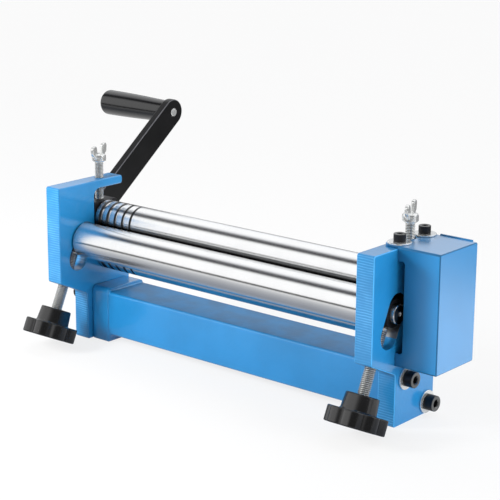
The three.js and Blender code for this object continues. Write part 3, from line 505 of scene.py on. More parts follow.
class Nodes:
    """The nodes of a new material or world."""

    def __init__(self, owner):
        owner.use_nodes = True
        self.tree = owner.node_tree
        self.tree.nodes.clear()

    def add(self, kind, settings=None, inputs=None):
        """A new node; an input is given a socket to follow or a plain value."""
        made = self.tree.nodes.new(kind)
        for name, value in (settings or {}).items():
            if name == "stops":
                self.set_stops(made.color_ramp, value)
            else:
                setattr(made, name, value)
        for name, value in (inputs or {}).items():
            if isinstance(value, Level):
                self.tree.links.new(value.socket, made.inputs[name])
            else:
                made.inputs[name].default_value = value
        return Node(self, made)

    def set_stops(self, ramp, stops):
        while len(ramp.elements) < len(stops):
            ramp.elements.new(1)
        for element, (position, colour) in zip(ramp.elements, stops):
            element.position = position
            element.color = (*colour, 1)

    def place(self):
        """Object-space coordinates, in metres."""
        return self.add("ShaderNodeTexCoord").out("Object")

    def facing(self):
        """The three parts of the object-space normal."""
        return self.axes(self.add("ShaderNodeTexCoord").out("Normal"))

    def axes(self, vector):
        """The three parts of a vector."""
        split = self.add("ShaderNodeSeparateXYZ", inputs={0: vector})
        return [split.out(i) for i in range(3)]

    def stretched(self, vector, scale):
        """The vector with each of its parts multiplied by a number of its own."""
        made = self.add("ShaderNodeVectorMath", {"operation": "MULTIPLY"}, {0: vector, 1: scale})
        return made.out()

    def noise(self, vector, scale, detail):
        """Noise of about 0 to 1, whose features are 1 / scale metres apart."""
        inputs = {"Vector": vector, "Scale": scale, "Detail": detail}
        return self.add("ShaderNodeTexNoise", {}, inputs).out("Fac")

    def blend(self, factor, first, second):
        """A colour between two others, which the mix takes on its sockets 6 and 7."""
        made = self.add("ShaderNodeMix", {"data_type": "RGBA"}, {0: factor, 6: first, 7: second})
        return made.out(2)

    def clouded(self, base, cloud, dark, light):
        """A colour that drifts between two shares of itself with a noise."""
        return self.blend(cloud.above(0.3, 0.7), dimmed(base, dark), dimmed(base, light))

    def bump(self, height, depth, strength=1.0, normal=None):
        inputs = {"Height": height, "Distance": depth, "Strength": strength}
        if normal is not None:
            inputs["Normal"] = normal
        return self.add("ShaderNodeBump", {}, inputs).out("Normal")

    def surface(self, inputs):
        """Adds the shader of the surface and the output that takes it."""
        shader = self.add("ShaderNodeBsdfPrincipled", {}, inputs)
        self.add("ShaderNodeOutputMaterial", {}, {"Surface": shader.out()})


def dimmed(value, share):
    """A share of a colour, with the fourth number that a socket asks for."""
    return (*(part * share for part in value[:3]), 1)


def finish(name):
    """The material of a finish, made the first time that a piece asks for it. Its name has a
    blank where the CAD frame's own materials have an underscore."""
    label = name.replace("_", " ")
    if label not in bpy.data.materials:
        FINISHES[name](Nodes(bpy.data.materials.new(label)), settings("finishes"))
    return bpy.data.materials[label]


def enamel_edge(nodes, settings):
    """Lighter enamel on the castings' rounded edges: a painted highlight."""
    grained(nodes, settings.rim_highlight, roughness=0.2, grain=300, depth=0.00001, contrast=0.12)


def fold_enamel(nodes, settings):
    """Darker enamel along the cover's folds: a painted shade line."""
    grained(nodes, dimmed(settings.enamel, 0.55), roughness=0.3, grain=300, depth=0.00001)


def beam_top_enamel(nodes, settings):
    """Duller enamel on the beam's top, darkened with painted shade."""
    grained(nodes, dimmed(settings.enamel, 0.78), roughness=0.3, grain=260, depth=0.00008,
            contrast=0.16, shine=0.45)


# How far a face has to lean one way, from none to all of a finish that faces that way
LEAN = (0.8, 0.95)


def sheet_enamel(nodes, settings):
    """Smooth enamel of the folded cover, glossiest on top and least so in front, where painted
    shade darkens it the nearer it is to the side plate."""
    place = nodes.place()
    cloud = nodes.noise(place, scale=14, detail=2)
    _, backwards, upwards = nodes.facing()
    top = upwards.above(*LEAN)
    front = (-backwards).above(*LEAN)
    x = nodes.axes(place)[0]
    # Painted shade on the front, deepest next to the side plate
    plate_shade = front * (1 - x.above(PLATE_OUTER, COVER_HIGH.x))
    tint = nodes.clouded(settings.enamel, cloud, dark=1.04, light=1.18)
    peel = nodes.noise(place, scale=260, detail=2)
    nodes.surface({
        "Base Color": nodes.blend(plate_shade, tint, dimmed(settings.enamel, 0.5)),
        "Roughness": 0.25 + cloud * 0.1,
        "Coat Weight": 0.6 + top * 0.35 - front * 0.55 + cloud * 0.05,
        "Coat Roughness": 0.26,
        "Coat IOR": 3.2,
        "Normal": nodes.bump(peel, settings.enamel_peel * 0.25, strength=0.6),
    })


def blue_enamel(nodes, settings):
    """Glossy enamel over castings; the planed front faces keep fine level ribs with a painted highlight
    on their crests.
    """
    place = nodes.place()
    x, _, z = nodes.axes(place)
    _, backwards, _ = nodes.facing()
    planed = (-backwards).above(*LEAN) * x.size().above(ROLLER_HALF, PLATE_INNER)
    cloud = nodes.noise(place, scale=18, detail=3)
    tint = nodes.clouded(settings.enamel, cloud, dark=0.93, light=1.07)
    waver = nodes.noise(nodes.stretched(place, (60, 60, 90)), scale=1, detail=3)
    wander, sanded = 6, 3.6
    phase = z * (FULL_TURN / settings.rib_pitch) + waver * wander
    rib = phase.math("SINE", phase)
    uneven = nodes.noise(nodes.stretched(place, (60, 60, 500)), scale=1, detail=2)
    ribbed = planed * (rib * 0.5 + uneven)
    peel = nodes.noise(place, scale=520, detail=2)
    sand = nodes.noise(place, scale=150, detail=3)
    smooth = nodes.bump(peel + sand * sanded, settings.enamel_peel, strength=0.7)
    normal = nodes.bump(ribbed, settings.rib_depth, normal=smooth)
    # Painted highlight on the rib crests, patchy over the faces
    highlight_patches = nodes.noise(place, scale=55, detail=3).above(0.35, 0.7)
    crests = planed * rib.above(-0.2, 0.9) * (0.1 + highlight_patches * 0.4)
    nodes.surface({
        "Base Color": nodes.blend(crests, tint, settings.rib_highlight),
        "Roughness": 0.3 + nodes.noise(place, scale=60, detail=2) * 0.12,
        "Coat Weight": 0.6 + cloud * 0.3,
        "Coat Roughness": 0.1,
        "Coat IOR": 1.6,
        "Normal": normal,
    })


# How finely the rings of turned metal follow each other along an object's X, Y and Z
ROLLER_RINGS = (25, 25, 420)
SHAFT_RINGS = (420, 25, 25)


def turned(nodes, base, roughness, scratch=0.00001, rings=SHAFT_RINGS, one_way=0.0, shade_reach=0.0):
    """Metal with fine rings, left by grinding or turning, which blur it one way. Within the given
    reach of another piece, ambient occlusion paints shade into the metal."""
    place = nodes.place()
    broad = nodes.noise(nodes.stretched(place, rings), scale=1, detail=3)
    cloud = nodes.noise(place, scale=26, detail=3)
    shade = nodes.clouded(base, cloud, dark=0.96, light=1)
    if shade_reach:
        # Painted shade: the colour darkens where another piece is near
        samples, darkest = 16, 0.12
        occlusion_shade = nodes.add("ShaderNodeAmbientOcclusion", {"samples": samples}, {"Distance": shade_reach}).out("AO")
        shade = nodes.blend(occlusion_shade.above(0.25, 0.75), dimmed(base, darkest), shade)
    nodes.surface({
        "Base Color": shade,
        "Metallic": 1.0,
        "Roughness": roughness * (0.85 + broad * 0.2 + cloud * 0.1),
        "Anisotropic": one_way,
        "Anisotropic Rotation": 0.25,
        "Normal": nodes.bump(broad, scratch),
    })


def polished_roller(nodes, settings):
    # The rollers take painted shade where they nearly touch
    turned(nodes, settings.roller_steel, settings.roller_blur, scratch=0.000001,
           rings=ROLLER_RINGS, one_way=settings.grinding, shade_reach=0.03)


def groove_steel(nodes, settings):
    """Steel darkened with painted shade, on the flanks of the wire grooves."""
    steel = dimmed(settings.bare_steel, 0.22)
    turned(nodes, steel, roughness=0.3, rings=ROLLER_RINGS, one_way=settings.grinding)


def gear_steel(nodes, settings):
    turned(nodes, dimmed(settings.bare_steel, 0.75), roughness=0.34)


def bare_steel(nodes, settings):
    turned(nodes, settings.bare_steel, roughness=0.3)


def bronze_bush(nodes, settings):
    turned(nodes, settings.bronze, roughness=0.34)


def grained(nodes, base, roughness, grain, depth, metallic=0.0, contrast=0.1, shine=0.5):
    """A plain finish with fine grain, and a colour and a gloss that vary a little."""
    place = nodes.place()
    fine = nodes.noise(place, scale=grain, detail=3)
    cloud = nodes.noise(place, scale=45, detail=3)
    nodes.surface({
        "Base Color": nodes.clouded(base, cloud, dark=1 - contrast, light=1 + contrast),
        "Metallic": metallic,
        "Specular IOR Level": shine,
        "Roughness": roughness + cloud * 0.14 + fine * 0.08,
        "Normal": nodes.bump(fine, depth),
    })


def zinc_plate(nodes, settings):
    grained(nodes, settings.zinc, roughness=0.08, grain=900, depth=0.000006,
            metallic=0.8, contrast=0.06)


def worn_edge(nodes, settings):
    """Lighter paint along the crank's rounded edge: a painted highlight."""
    grained(nodes, dimmed(settings.black_paint, 22), roughness=0.26, grain=600, depth=0.00001,
            contrast=0.2)


def thread_root(nodes, settings):
    """Painted shade in the roots of the zinc-plated threads."""
    grained(nodes, dimmed(settings.zinc, 0.14), roughness=0.3, grain=900, depth=0.00001,
            metallic=0.8, contrast=0.1)


def worn_oxide(nodes, settings):
    """Lighter metal on the tops and socket rims of the screws' heads: a painted highlight."""
    grained(nodes, dimmed(settings.zinc, 0.22), roughness=0.28, grain=900, depth=0.000012,
            metallic=0.9, contrast=0.2)


def black_oxide(nodes, settings):
    grained(nodes, settings.oxide, roughness=0.3, grain=1400, depth=0.000012,
            metallic=0.6, contrast=0.25)


def black_enamel(nodes, settings):
    grained(nodes, settings.black_paint, roughness=0.26, grain=600, depth=0.00002,
            contrast=0.15, shine=0.3)


def black_plastic(nodes, settings):
    grained(nodes, settings.plastic, roughness=0.08, grain=1700, depth=0.00001,
            contrast=0.12, shine=0.9)


FINISHES = {made.__name__: made for made in (
    blue_enamel, sheet_enamel, enamel_edge, fold_enamel, beam_top_enamel,
    polished_roller, groove_steel, bare_steel, gear_steel, bronze_bush,
    zinc_plate, thread_root, black_oxide, worn_oxide, black_enamel, worn_edge, black_plastic,
)}


# Castings

def beam_screw_places():
    """Y and Z of the two beam screws of a side, from their heads."""
    return [axis_of(f"right_{level}_beam_screw") for level in ("upper", "lower")]


def cover_screw_places():
    """X and Y of the two screws of the cover's tab."""
    places = []
    for end in ("front", "back"):
        low, high = machine_box(f"cover_screw_{end}")
        places.append(Vector(((low.x + high.x) / 2, (low.y + high.y) / 2)))
    return places


def side_plate(shapes, drilled_for_cover):
    """A side plate as cast, then milled for the roller bearings and drilled."""
    foot = on_slot(-SLOT_DOWN - SLOT_LAND)
    slope = math.tan(SLOT_TILT)
    lip_z = foot.y + foot.x * slope
    leg_front = PLATE_BACK - LEG_DEPTH
    corner, shoulder, notch_corner = 0.0022, 0.003, 0.007
    hook_end = NOTCH_BACK + ARM_OVERHANG
    arm_underside = PLATE_TOP - ARM_THICKNESS
    outline = rounded([
        (leg_front, 0, corner),
        (PLATE_BACK, 0, corner),
        (PLATE_BACK, BACK_WALL_TOP, shoulder),
        (NOTCH_BACK, BACK_WALL_TOP, corner),
        (NOTCH_BACK, NOTCH_FLOOR, corner),
        (NOTCH_FRONT, NOTCH_FLOOR, corner),
        (NOTCH_FRONT, arm_underside, notch_corner),
        (hook_end, arm_underside, corner),
        (hook_end, PLATE_TOP, corner),
        (0, PLATE_TOP, corner),
        (0, lip_z, corner),
        (leg_front, lip_z - leg_front * slope, shoulder),
    ])
    casting = slab([outline], PLATE_INNER, PLATE_OUTER, shapes.casting_edge, ALONG_X)
    through = (PLATE_INNER - PAST, PLATE_OUTER + PAST)
    cuts = [
        slab([obround(SLOT_WIDTH, SLOT_UP, SLOT_DOWN)], *through, place=slot_place() @ ALONG_X),
        bar(SCREW_RADIUS + SEAT_GAP, -SLOT_DOWN - SLOT_LAND - PAST, -SLOT_DOWN + SCREW_RADIUS,
            slot_place(PLATE_MIDDLE)),
        bar(BUSH_RADIUS + SEAT_GAP, *through, lying(LOWER_AXIS)),
        bar(WING_SCREW_RADIUS + SEAT_GAP, arm_underside - PAST, PLATE_TOP + PAST,
            standing(PLATE_MIDDLE)),
    ]
    for place in beam_screw_places():
        cuts.append(bar(BEAM_HOLE_RADIUS, *through, lying(place)))
    if drilled_for_cover:
        for place in cover_screw_places():
            cuts.append(bar(COVER_HOLE_RADIUS, PLATE_TOP - COVER_HOLE_DEPTH, PLATE_TOP + PAST,
                            Matrix.Translation((*place, 0))))
    plate = combine(casting, "DIFFERENCE", *cuts)
    # The rounded rims take a painted highlight
    mark_faces(plate, 2, is_rim)
    mark_faces(plate, 1, is_milled)
    return plate


def is_rim(centre, normal):
    """True on the rounded rims, which neither lie along X nor face it."""
    along, facing = 0.2, 0.98
    return along < abs(normal.x) < facing


def is_milled(centre, normal):
    """True inside the slot and the bush's hole, which are cut after the enamel."""
    half_facing = 0.5
    if abs(normal.x) > half_facing:
        return False
    point = Vector((centre.y, centre.z))
    away = point - BENDING_AXIS
    direction = Vector((SLOT_AXIS.y, SLOT_AXIS.z))
    along = away.dot(direction)
    across = (away - direction * along).length
    in_slot = across < SLOT_WIDTH / 2 + SEAT_GAP and SLOT_WIDTH / 2 - SLOT_DOWN < along < SLOT_UP
    return in_slot or (point - LOWER_AXIS).length < BUSH_RADIUS + 2 * SEAT_GAP


def cross_beam():
    """The cast beam: an inverted channel that arches between two end pads."""
    end, top = BEAM_HIGH.x, BEAM_HIGH.z
    face = end - PAD_THICKNESS
    in_pad, arch, hollow, beam_edge = 0.006, 0.004, 0.0018, 0.0022
    inside, foot, crown = face + in_pad, 0.0015, top - 0.001
    outline = rounded([
        (-inside, foot), (-face, foot), (-face, BEAM_UNDERSIDE, arch),
        (face, BEAM_UNDERSIDE, arch), (face, foot), (inside, foot),
        (inside, crown), (face, crown), (face, BEAM_TOP, hollow),
        (-face, BEAM_TOP, hollow), (-face, crown), (-inside, crown),
    ])
    beam = slab([outline], BEAM_FRONT, BEAM_BACK, beam_edge, FRONT_VIEW)
    pad_foot, pad_shoulder, pad_edge = 0.0015, 0.005, 0.0012
    pad_outline = rounded([
        (BEAM_LOW.y, 0, pad_foot), (BEAM_HIGH.y, 0, pad_foot),
        (BEAM_HIGH.y, top, pad_shoulder), (BEAM_LOW.y, top, pad_shoulder),
    ])
    pad = slab([pad_outline], face, end, pad_edge, ALONG_X)
    beam = combine(beam, "UNION", pad, mirrored(pad))
    channel_end, channel_corner = face - 2 * BEAM_WALL, 0.004
    front, back = BEAM_FRONT + BEAM_WALL, BEAM_BACK - BEAM_WALL
    mouth, roof = BEAM_UNDERSIDE - 2 * PAST, BEAM_TOP - BEAM_WALL
    cuts = [slab([rounded([
        (front, mouth), (back, mouth), (back, roof, channel_corner), (front, roof, channel_corner),
    ])], -channel_end, channel_end, place=ALONG_X)]
    for place in beam_screw_places():
        for low, high in ((end - BEAM_HOLE_DEPTH, end + PAST), (-end - PAST, -end + BEAM_HOLE_DEPTH)):
            cuts.append(bar(BEAM_HOLE_RADIUS, low, high, lying(place)))
    return combine(beam, "DIFFERENCE", *cuts)


def on_beam_top(centre, normal):
    """True on the top between the end pads."""
    level = 0.9
    return normal.z > level and abs(centre.x) < BEAM_HIGH.x - PAD_THICKNESS


# Rollers and bearings

ROLLER_SIDES = 128
BORE_SIDES = 72


def groove_rows(steps=8):
    """Profile rows of the wire grooves at the left end of a barrel."""
    rows = []
    for i, width in enumerate(GROOVE_WIDTHS):
        middle = -ROLLER_HALF + GROOVE_START + i * GROOVE_PITCH
        depth = GROOVE_DEPTH * width / GROOVE_WIDTHS[0]
        for share in (step / steps for step in range(steps + 1)):
            reach = ROLLER_RADIUS - depth * math.sin(HALF_TURN * share)
            rows.append((reach, middle + width * (share - 0.5)))
    return rows


def shaft_rows(steps, start, side):
    """Profile rows of a stepped shaft: steps are (radius, end), the free end's rim broken."""
    rows = []
    along = start
    for radius, end in steps:
        rows += [(radius, along), (radius, end)]
        along = end
    radius, end = rows[-1]
    chamfer = 0.0006
    rows[-1] = (radius, end - side * chamfer)
    return rows + [(radius - chamfer, end)]


def centre_hole(end, side):
    """Profile rows of a lathe centre's hole in a shaft's end: a cone and a narrow pilot."""
    mouth, pilot = 0.002, 0.0007
    rows = [(mouth, 0), (mouth / 2, 1), (pilot, 1.1), (pilot, 1.8), (0, 2)]
    return [(radius, end - side * mouth * depth) for radius, depth in rows]


def roller(left_steps, right_steps, grooves, left_end, right_end):
    """Profile of a barrel between two stepped shafts."""
    edge = 0.0008
    left = shaft_rows(left_steps, -ROLLER_HALF, -1) + centre_hole(left_end, -1)
    right = shaft_rows(right_steps, ROLLER_HALF, 1) + centre_hole(right_end, 1)
    barrel = [(ROLLER_RADIUS - edge, -ROLLER_HALF), (ROLLER_RADIUS, -ROLLER_HALF + edge), *grooves,
              (ROLLER_RADIUS, ROLLER_HALF - edge), (ROLLER_RADIUS - edge, ROLLER_HALF)]
    return list(reversed(left)) + barrel + right


def gear_shaft_steps(end):
    """Steps of a shaft that carries a gear: journal, seat, groove for the ring, and tail."""
    ring_low, ring_high = machine_box("lower_gear_ring")
    groove = 0.0008
    return [
        (JOURNAL_RADIUS, PLATE_OUTER),
        (DRIVE_RADIUS, ring_low.x - RUNNING_GAP),
        (DRIVE_RADIUS - groove, ring_high.x + RUNNING_GAP),
        (DRIVE_RADIUS, end),
    ]


def keyway(side):
    """Block that cuts the gear's keyway in a shaft; side is 1 above the axis, -1 below it."""
    low, high = sorted((side * (DRIVE_RADIUS - KEYWAY_DEPTH), side * (DRIVE_RADIUS + 2 * PAST)))
    half = KEY_SIZE / 2
    return slab([rectangle((-half, low), (half, high))], GEAR_LOW.x - SEAT_GAP, GEAR_HIGH.x)


def add_geared_roller(node, axis, left_steps, side):
    """Add a rear roller; side says where its gear's key is."""
    low, high = machine_box(node)
    profile = roller(left_steps, gear_shaft_steps(high.x), groove_rows(), low.x, high.x)
    made = combine(lathe(profile, ROLLER_SIDES), "DIFFERENCE", keyway(side))
    mark_faces(made, 1, in_groove)
    add_piece(node, made, finishes=["groove_steel"], stand=lying(axis))


def add_bending_roller():
    """Add the plain roller in front."""
    low, high = machine_box("bending_roller")
    profile = roller([(BENDING_JOURNAL_RADIUS, low.x)], [(BENDING_JOURNAL_RADIUS, high.x)], [],
                     low.x, high.x)
    made = lathe(profile, ROLLER_SIDES)
    mark_faces(made, 1, on_journal_end)
    add_piece("bending_roller", made, finishes=["groove_steel"], stand=lying(BENDING_AXIS))


def on_journal_end(centre, normal):
    """True on the two ends of the bending roller."""
    facing = 0.9
    return abs(centre.z) > PLATE_OUTER and abs(normal.z) > facing


def in_groove(centre, normal):
    """True on the flanks of the barrel's wire grooves, under the rim, which take painted shade."""
    rim, flank = 0.0001, 0.55 * GROOVE_DEPTH
    along, depth = centre.z + ROLLER_HALF, ROLLER_RADIUS - centre.xy.length
    first, last = GROOVE_START - GROOVE_PITCH / 2, len(GROOVE_WIDTHS) * GROOVE_PITCH
    return first < along < last and rim < depth < flank


def lower_bush():
    """Plain bush of the lower roller."""
    inner, edge = JOURNAL_RADIUS + RUNNING_GAP, 0.0004
    return lathe([
        (inner, BUSH_LOW.x), (BUSH_RADIUS - edge, BUSH_LOW.x), (BUSH_RADIUS, BUSH_LOW.x + edge),
        (BUSH_RADIUS, BUSH_HIGH.x - edge), (BUSH_RADIUS - edge, BUSH_HIGH.x), (inner, BUSH_HIGH.x),
    ], sides=BORE_SIDES, place=lying(LOWER_AXIS))


def upper_block():
    """The upper roller's block, with the T-slot that holds its wing bolt's button."""
    corner, edge = 0.002, 0.0006
    face = rounded_rectangle((BLOCK_LOW.y, BLOCK_LOW.z), (BLOCK_HIGH.y, BLOCK_HIGH.z), corner)
    body = slab([face], BLOCK_LOW.x, BLOCK_HIGH.x, edge, ALONG_X)
    upright = standing(PLATE_MIDDLE)
    cuts = [bar(JOURNAL_RADIUS + RUNNING_GAP, BLOCK_LOW.x - PAST, BLOCK_HIGH.x + PAST,
                lying(UPPER_AXIS), sides=BORE_SIDES)]
    mouth = BLOCK_HIGH.x - PLATE_MIDDLE + PAST
    for radius, low, high in (
            (BUTTON_RADIUS + SEAT_GAP, BUTTON_SLOT_TOP - BUTTON_SLOT_HEIGHT, BUTTON_SLOT_TOP),
            (BUTTON_NECK_RADIUS + SEAT_GAP, BUTTON_SLOT_TOP - SEAT_GAP, BLOCK_HIGH.z + PAST)):
        cuts.append(bar(radius, low, high, upright))
        cuts.append(slab([rectangle((0, -radius), (mouth, radius))], low, high, place=upright))
    return combine(body, "DIFFERENCE", *cuts)


def bending_block():
    """The bending roller's block, which slides in the slanted slot."""
    low, high = machine_box("right_bending_block")
    outline = obround(SLOT_WIDTH - 2 * SEAT_GAP, BENDING_BLOCK_REACH, BENDING_BLOCK_REACH)
    bore = ring(BENDING_JOURNAL_RADIUS + RUNNING_GAP, BORE_SIDES)
    edge = 0.0005
    return slab([outline, bore], low.x, high.x, edge, slot_place() @ ALONG_X)


# Adjusters

# How far a knob's lobes reach down, and the knob's places along the slot's line, measured from
# the bending roller's axis. At rest the lowest lobes just clear the floor.
KNOB_REACH = KNOB_RADIUS * math.cos(HALF_TURN / KNOB_LOBES)
KNOB_BOTTOM = -(BENDING_AXIS.y - KNOB_OFF_FLOOR - KNOB_REACH * SLOT_AXIS.y) / SLOT_AXIS.z
KNOB_GRIP_TOP = KNOB_BOTTOM + KNOB_GRIP_HEIGHT
KNOB_TOP = KNOB_GRIP_TOP + KNOB_HUB_HEIGHT
KNOB_FOOT = KNOB_TOP - KNOB_SOCKET_DEPTH


def adjusting_screw():
    """Threaded rod from the knob's socket to under the bending block."""
    foot = KNOB_FOOT + SEAT_GAP
    tip = -BENDING_BLOCK_REACH - SEAT_GAP
    point = 0.0015
    rows = threaded(SCREW_RADIUS, foot + point / 2, tip - point, SCREW_PITCH)
    made = lathe([(0, foot), (SCREW_RADIUS - point / 2, foot), *rows,
                  (SCREW_RADIUS - point, tip), (0, tip)], sides=40, pitch=SCREW_PITCH)
    mark_roots(made, SCREW_RADIUS, SCREW_PITCH, foot + point, tip - point)
    return made


def knob(shapes):
    """Lobed grip under a plain hub, with a socket for the screw."""
    lobes, depth = shapes.knob_lobes, shapes.knob_flute
    flute_round, full_lobe, fullness = 0.25, 0.78, 0.8
    outline = []
    steps = 20 * lobes
    for i in range(steps):
        angle = FULL_TURN * i / steps
        wave = (math.hypot(math.sin(lobes * angle / 2), flute_round) - flute_round) / full_lobe
        reach = KNOB_RADIUS - depth * (1 - min(1, wave) ** fullness)
        outline.append(Vector((reach * math.sin(angle), reach * math.cos(angle))))
    grip = slab([outline], KNOB_BOTTOM, KNOB_GRIP_TOP, shapes.knob_edge)
    edge, fillet, flare, sunk, just_under = 0.0012, 0.0008, 0.001, 0.004, 0.0001
    foot = KNOB_HUB_RADIUS + flare
    hub = lathe([
        (0, KNOB_GRIP_TOP - sunk), (foot + fillet, KNOB_GRIP_TOP - sunk),
        (foot + fillet, KNOB_GRIP_TOP - just_under), (foot, KNOB_GRIP_TOP + fillet),
        (KNOB_HUB_RADIUS, KNOB_TOP - edge),
        *round_rim(KNOB_HUB_RADIUS, KNOB_TOP, edge, 1, steps=4), (0, KNOB_TOP),
    ], sides=96)
    socket = bar(SCREW_RADIUS + SEAT_GAP, KNOB_FOOT, KNOB_TOP + PAST)
    dish_radius, dish_floor, dish_edge = 0.0165, KNOB_BOTTOM + 0.0016, 0.0008
    dish = lathe([
        (0, KNOB_BOTTOM - PAST), (dish_radius, KNOB_BOTTOM - PAST),
        (dish_radius, dish_floor - dish_edge), (dish_radius - dish_edge, dish_floor), (0, dish_floor),
    ], sides=96)
    return combine(combine(grip, "UNION", hub), "DIFFERENCE", socket, dish)


def wing_bolt():
    """Button, neck and threaded stem, under a hub with two cast wings."""
    button_top = BUTTON_SLOT_TOP - SEAT_GAP
    neck_top = BLOCK_HIGH.z + SEAT_GAP
    stem_length, hub_height = 0.015, 0.0065
    hub_z = PLATE_TOP + stem_length
    hub_top = hub_z + hub_height
    hub, edge, dome = 0.0065, 0.0008, 0.002
    rows = threaded(WING_SCREW_RADIUS, neck_top + edge, hub_z - edge / 2, WING_SCREW_PITCH)
    stem = lathe([
        (0, WING_LOW.z), (BUTTON_RADIUS, WING_LOW.z), (BUTTON_RADIUS, button_top),
        (BUTTON_NECK_RADIUS, button_top), (BUTTON_NECK_RADIUS, neck_top), *rows,
        (WING_SCREW_RADIUS, hub_z), (hub - edge, hub_z), (hub, hub_z + edge),
        *broken_rim(hub, hub_top, dome, 1), (0, hub_top),
    ], sides=36, pitch=WING_SCREW_PITCH)
    tip, tip_width, rise, bend, inside = 0.0145, 0.008, 0.015, 0.007, 0.002
    tip_corner, bend_corner, root_corner = 0.0035, 0.004, 0.002
    root, waist = hub_z + 2 * edge, hub_top - edge
    wing = rounded([
        (-inside, root), (hub - edge, root, root_corner), (tip - edge, hub_z + bend, bend_corner),
        (tip, hub_z + rise, tip_corner), (tip - tip_width, hub_z + rise, tip_corner),
        (hub - inside, waist, root_corner), (-inside, waist),
    ])
    half, wing_turn = 0.0015, math.radians(110)
    wings = [slab([wing], -half, half, edge, Matrix.Rotation(angle, 4, "Z") @ FRONT_VIEW)
             for angle in (wing_turn, wing_turn + HALF_TURN)]
    made = combine(stem, "UNION", *wings)
    mark_roots(made, WING_SCREW_RADIUS, WING_SCREW_PITCH, neck_top + edge, hub_z - edge / 2)
    return made


# Gears and cover

def gear(node, side, turn):
    """Spur gear with involute teeth, its bore and its keyway; side says where the key is."""
    low, high = machine_box(node)
    axis = LOWER_AXIS if node.startswith("lower") else UPPER_AXIS
    pitch_radius = (UPPER_AXIS.y - LOWER_AXIS.y) / 2
    module = 2 * pitch_radius / GEAR_TEETH
    base = pitch_radius * math.cos(PRESSURE_ANGLE)
    depth = 1.5 * module
    tip, root = pitch_radius + module, pitch_radius - depth

    def involute(radius):
        angle = math.acos(min(1, base / radius))
        return math.tan(angle) - angle

    half_tooth = (math.pi * module / 2 - GEAR_BACKLASH) / 2 / pitch_radius
    steps = 6
    flank = [root, base] + [base + (tip - base) * step / steps for step in range(1, steps + 1)]
    outline = []
    for tooth in range(GEAR_TEETH):
        middle = turn + FULL_TURN * tooth / GEAR_TEETH
        for hand, radii in ((-1, flank), (1, list(reversed(flank)))):
            for radius in radii:
                half = half_tooth + involute(pitch_radius) - involute(radius)
                angle = middle + hand * half
                outline.append(Vector((radius * math.cos(angle), radius * math.sin(angle))))
    tooth_edge = 0.0003
    blank = slab([outline, ring(DRIVE_RADIUS + RUNNING_GAP)], low.x, high.x, tooth_edge, ALONG_X)
    half = KEY_SIZE / 2
    floor, rim = sorted((0, side * (DRIVE_RADIUS + KEY_REACH)))
    key_slot = slab([rectangle((-half, floor), (half, rim))], low.x - PAST, high.x + PAST,
                    place=ALONG_X)
    inner, outer, deep = 0.0112, 0.0128, 0.0008
    recess = [lathe([(inner, x - deep), (outer, x - deep), (outer, x + deep), (inner, x + deep)],
                    sides=64, place=ALONG_X) for x in (low.x, high.x)]
    wheel = combine(blank, "DIFFERENCE", key_slot, *recess)
    return cleaned(wheel, Matrix.Translation((0, *axis)))


def gear_cover(shapes):
    """Folded cover: five walls, a tab on the side plate, and a front wall with a relief."""
    x0, x1 = PLATE_OUTER + SEAT_GAP, COVER_HIGH.x
    y0, y1 = COVER_LOW.y, COVER_HIGH.y
    z0, top = COVER_LOW.z, COVER_HIGH.z - COVER_LIP
    fold, sheet = shapes.cover_fold, COVER_SHEET
    inside, relief_corner = 0.0006, 0.0025
    outer = rounded_rectangle((y0, z0), (y1, top), fold)
    inner = rounded_rectangle((y0 + sheet, z0 + sheet), (y1 - sheet, top - sheet), inside)
    relief = x0 + COVER_RELIEF
    rim, beyond = x0 - 0.004, x0 - 0.006
    shell = slab([outer], rim, x1, fold * 0.8, ALONG_X)
    cuts = [
        slab([rectangle((y0 - PAST, z0 - PAST), (y1 + PAST, top + PAST))], beyond, x0, place=ALONG_X),
        slab([inner], beyond, x1 - sheet, place=ALONG_X),
        slab([rounded([
            (beyond, z0 + COVER_FOOT), (relief, z0 + COVER_FOOT, relief_corner),
            (relief, top - COVER_FOOT, relief_corner), (beyond, top - COVER_FOOT),
        ])], y0 - PAST, y0 + 2 * sheet, place=FRONT_VIEW),
    ]
    shell = combine(shell, "DIFFERENCE", *cuts)
    tab_start, tab_end, tab_edge = x0 + 0.003, PLATE_OUTER - COVER_TAB, 0.0003
    front, back = y0 + 0.001, y1 - 0.001
    tab = slab([rounded([
        (tab_start, front), (tab_start, back),
        (tab_end, back, COVER_TAB_CORNER), (tab_end, front, COVER_TAB_CORNER),
    ])], top - sheet, top, tab_edge)
    lip_edge = 0.0002
    lip = slab([rectangle((x0 + COVER_LIP_INSET, y1 - sheet), (x1 - COVER_LIP_INSET, y1))],
               top - sheet, top + COVER_LIP, lip_edge)
    cover = combine(shell, "UNION", tab, lip)
    low, high, stem_hole = top - 2 * sheet, top + 2 * PAST, 0.00525
    holes = [bar(COVER_HOLE_RADIUS, low, high, Matrix.Translation((*place, 0)))
             for place in cover_screw_places()]
    holes.append(bar(stem_hole, low, high, standing(PLATE_MIDDLE)))
    return combine(cover, "DIFFERENCE", *holes)


def on_fold(centre, normal):
    """True on the folds of the cover, which face none of the axes."""
    facing = 0.97
    return max(map(abs, normal)) < facing


# Fasteners

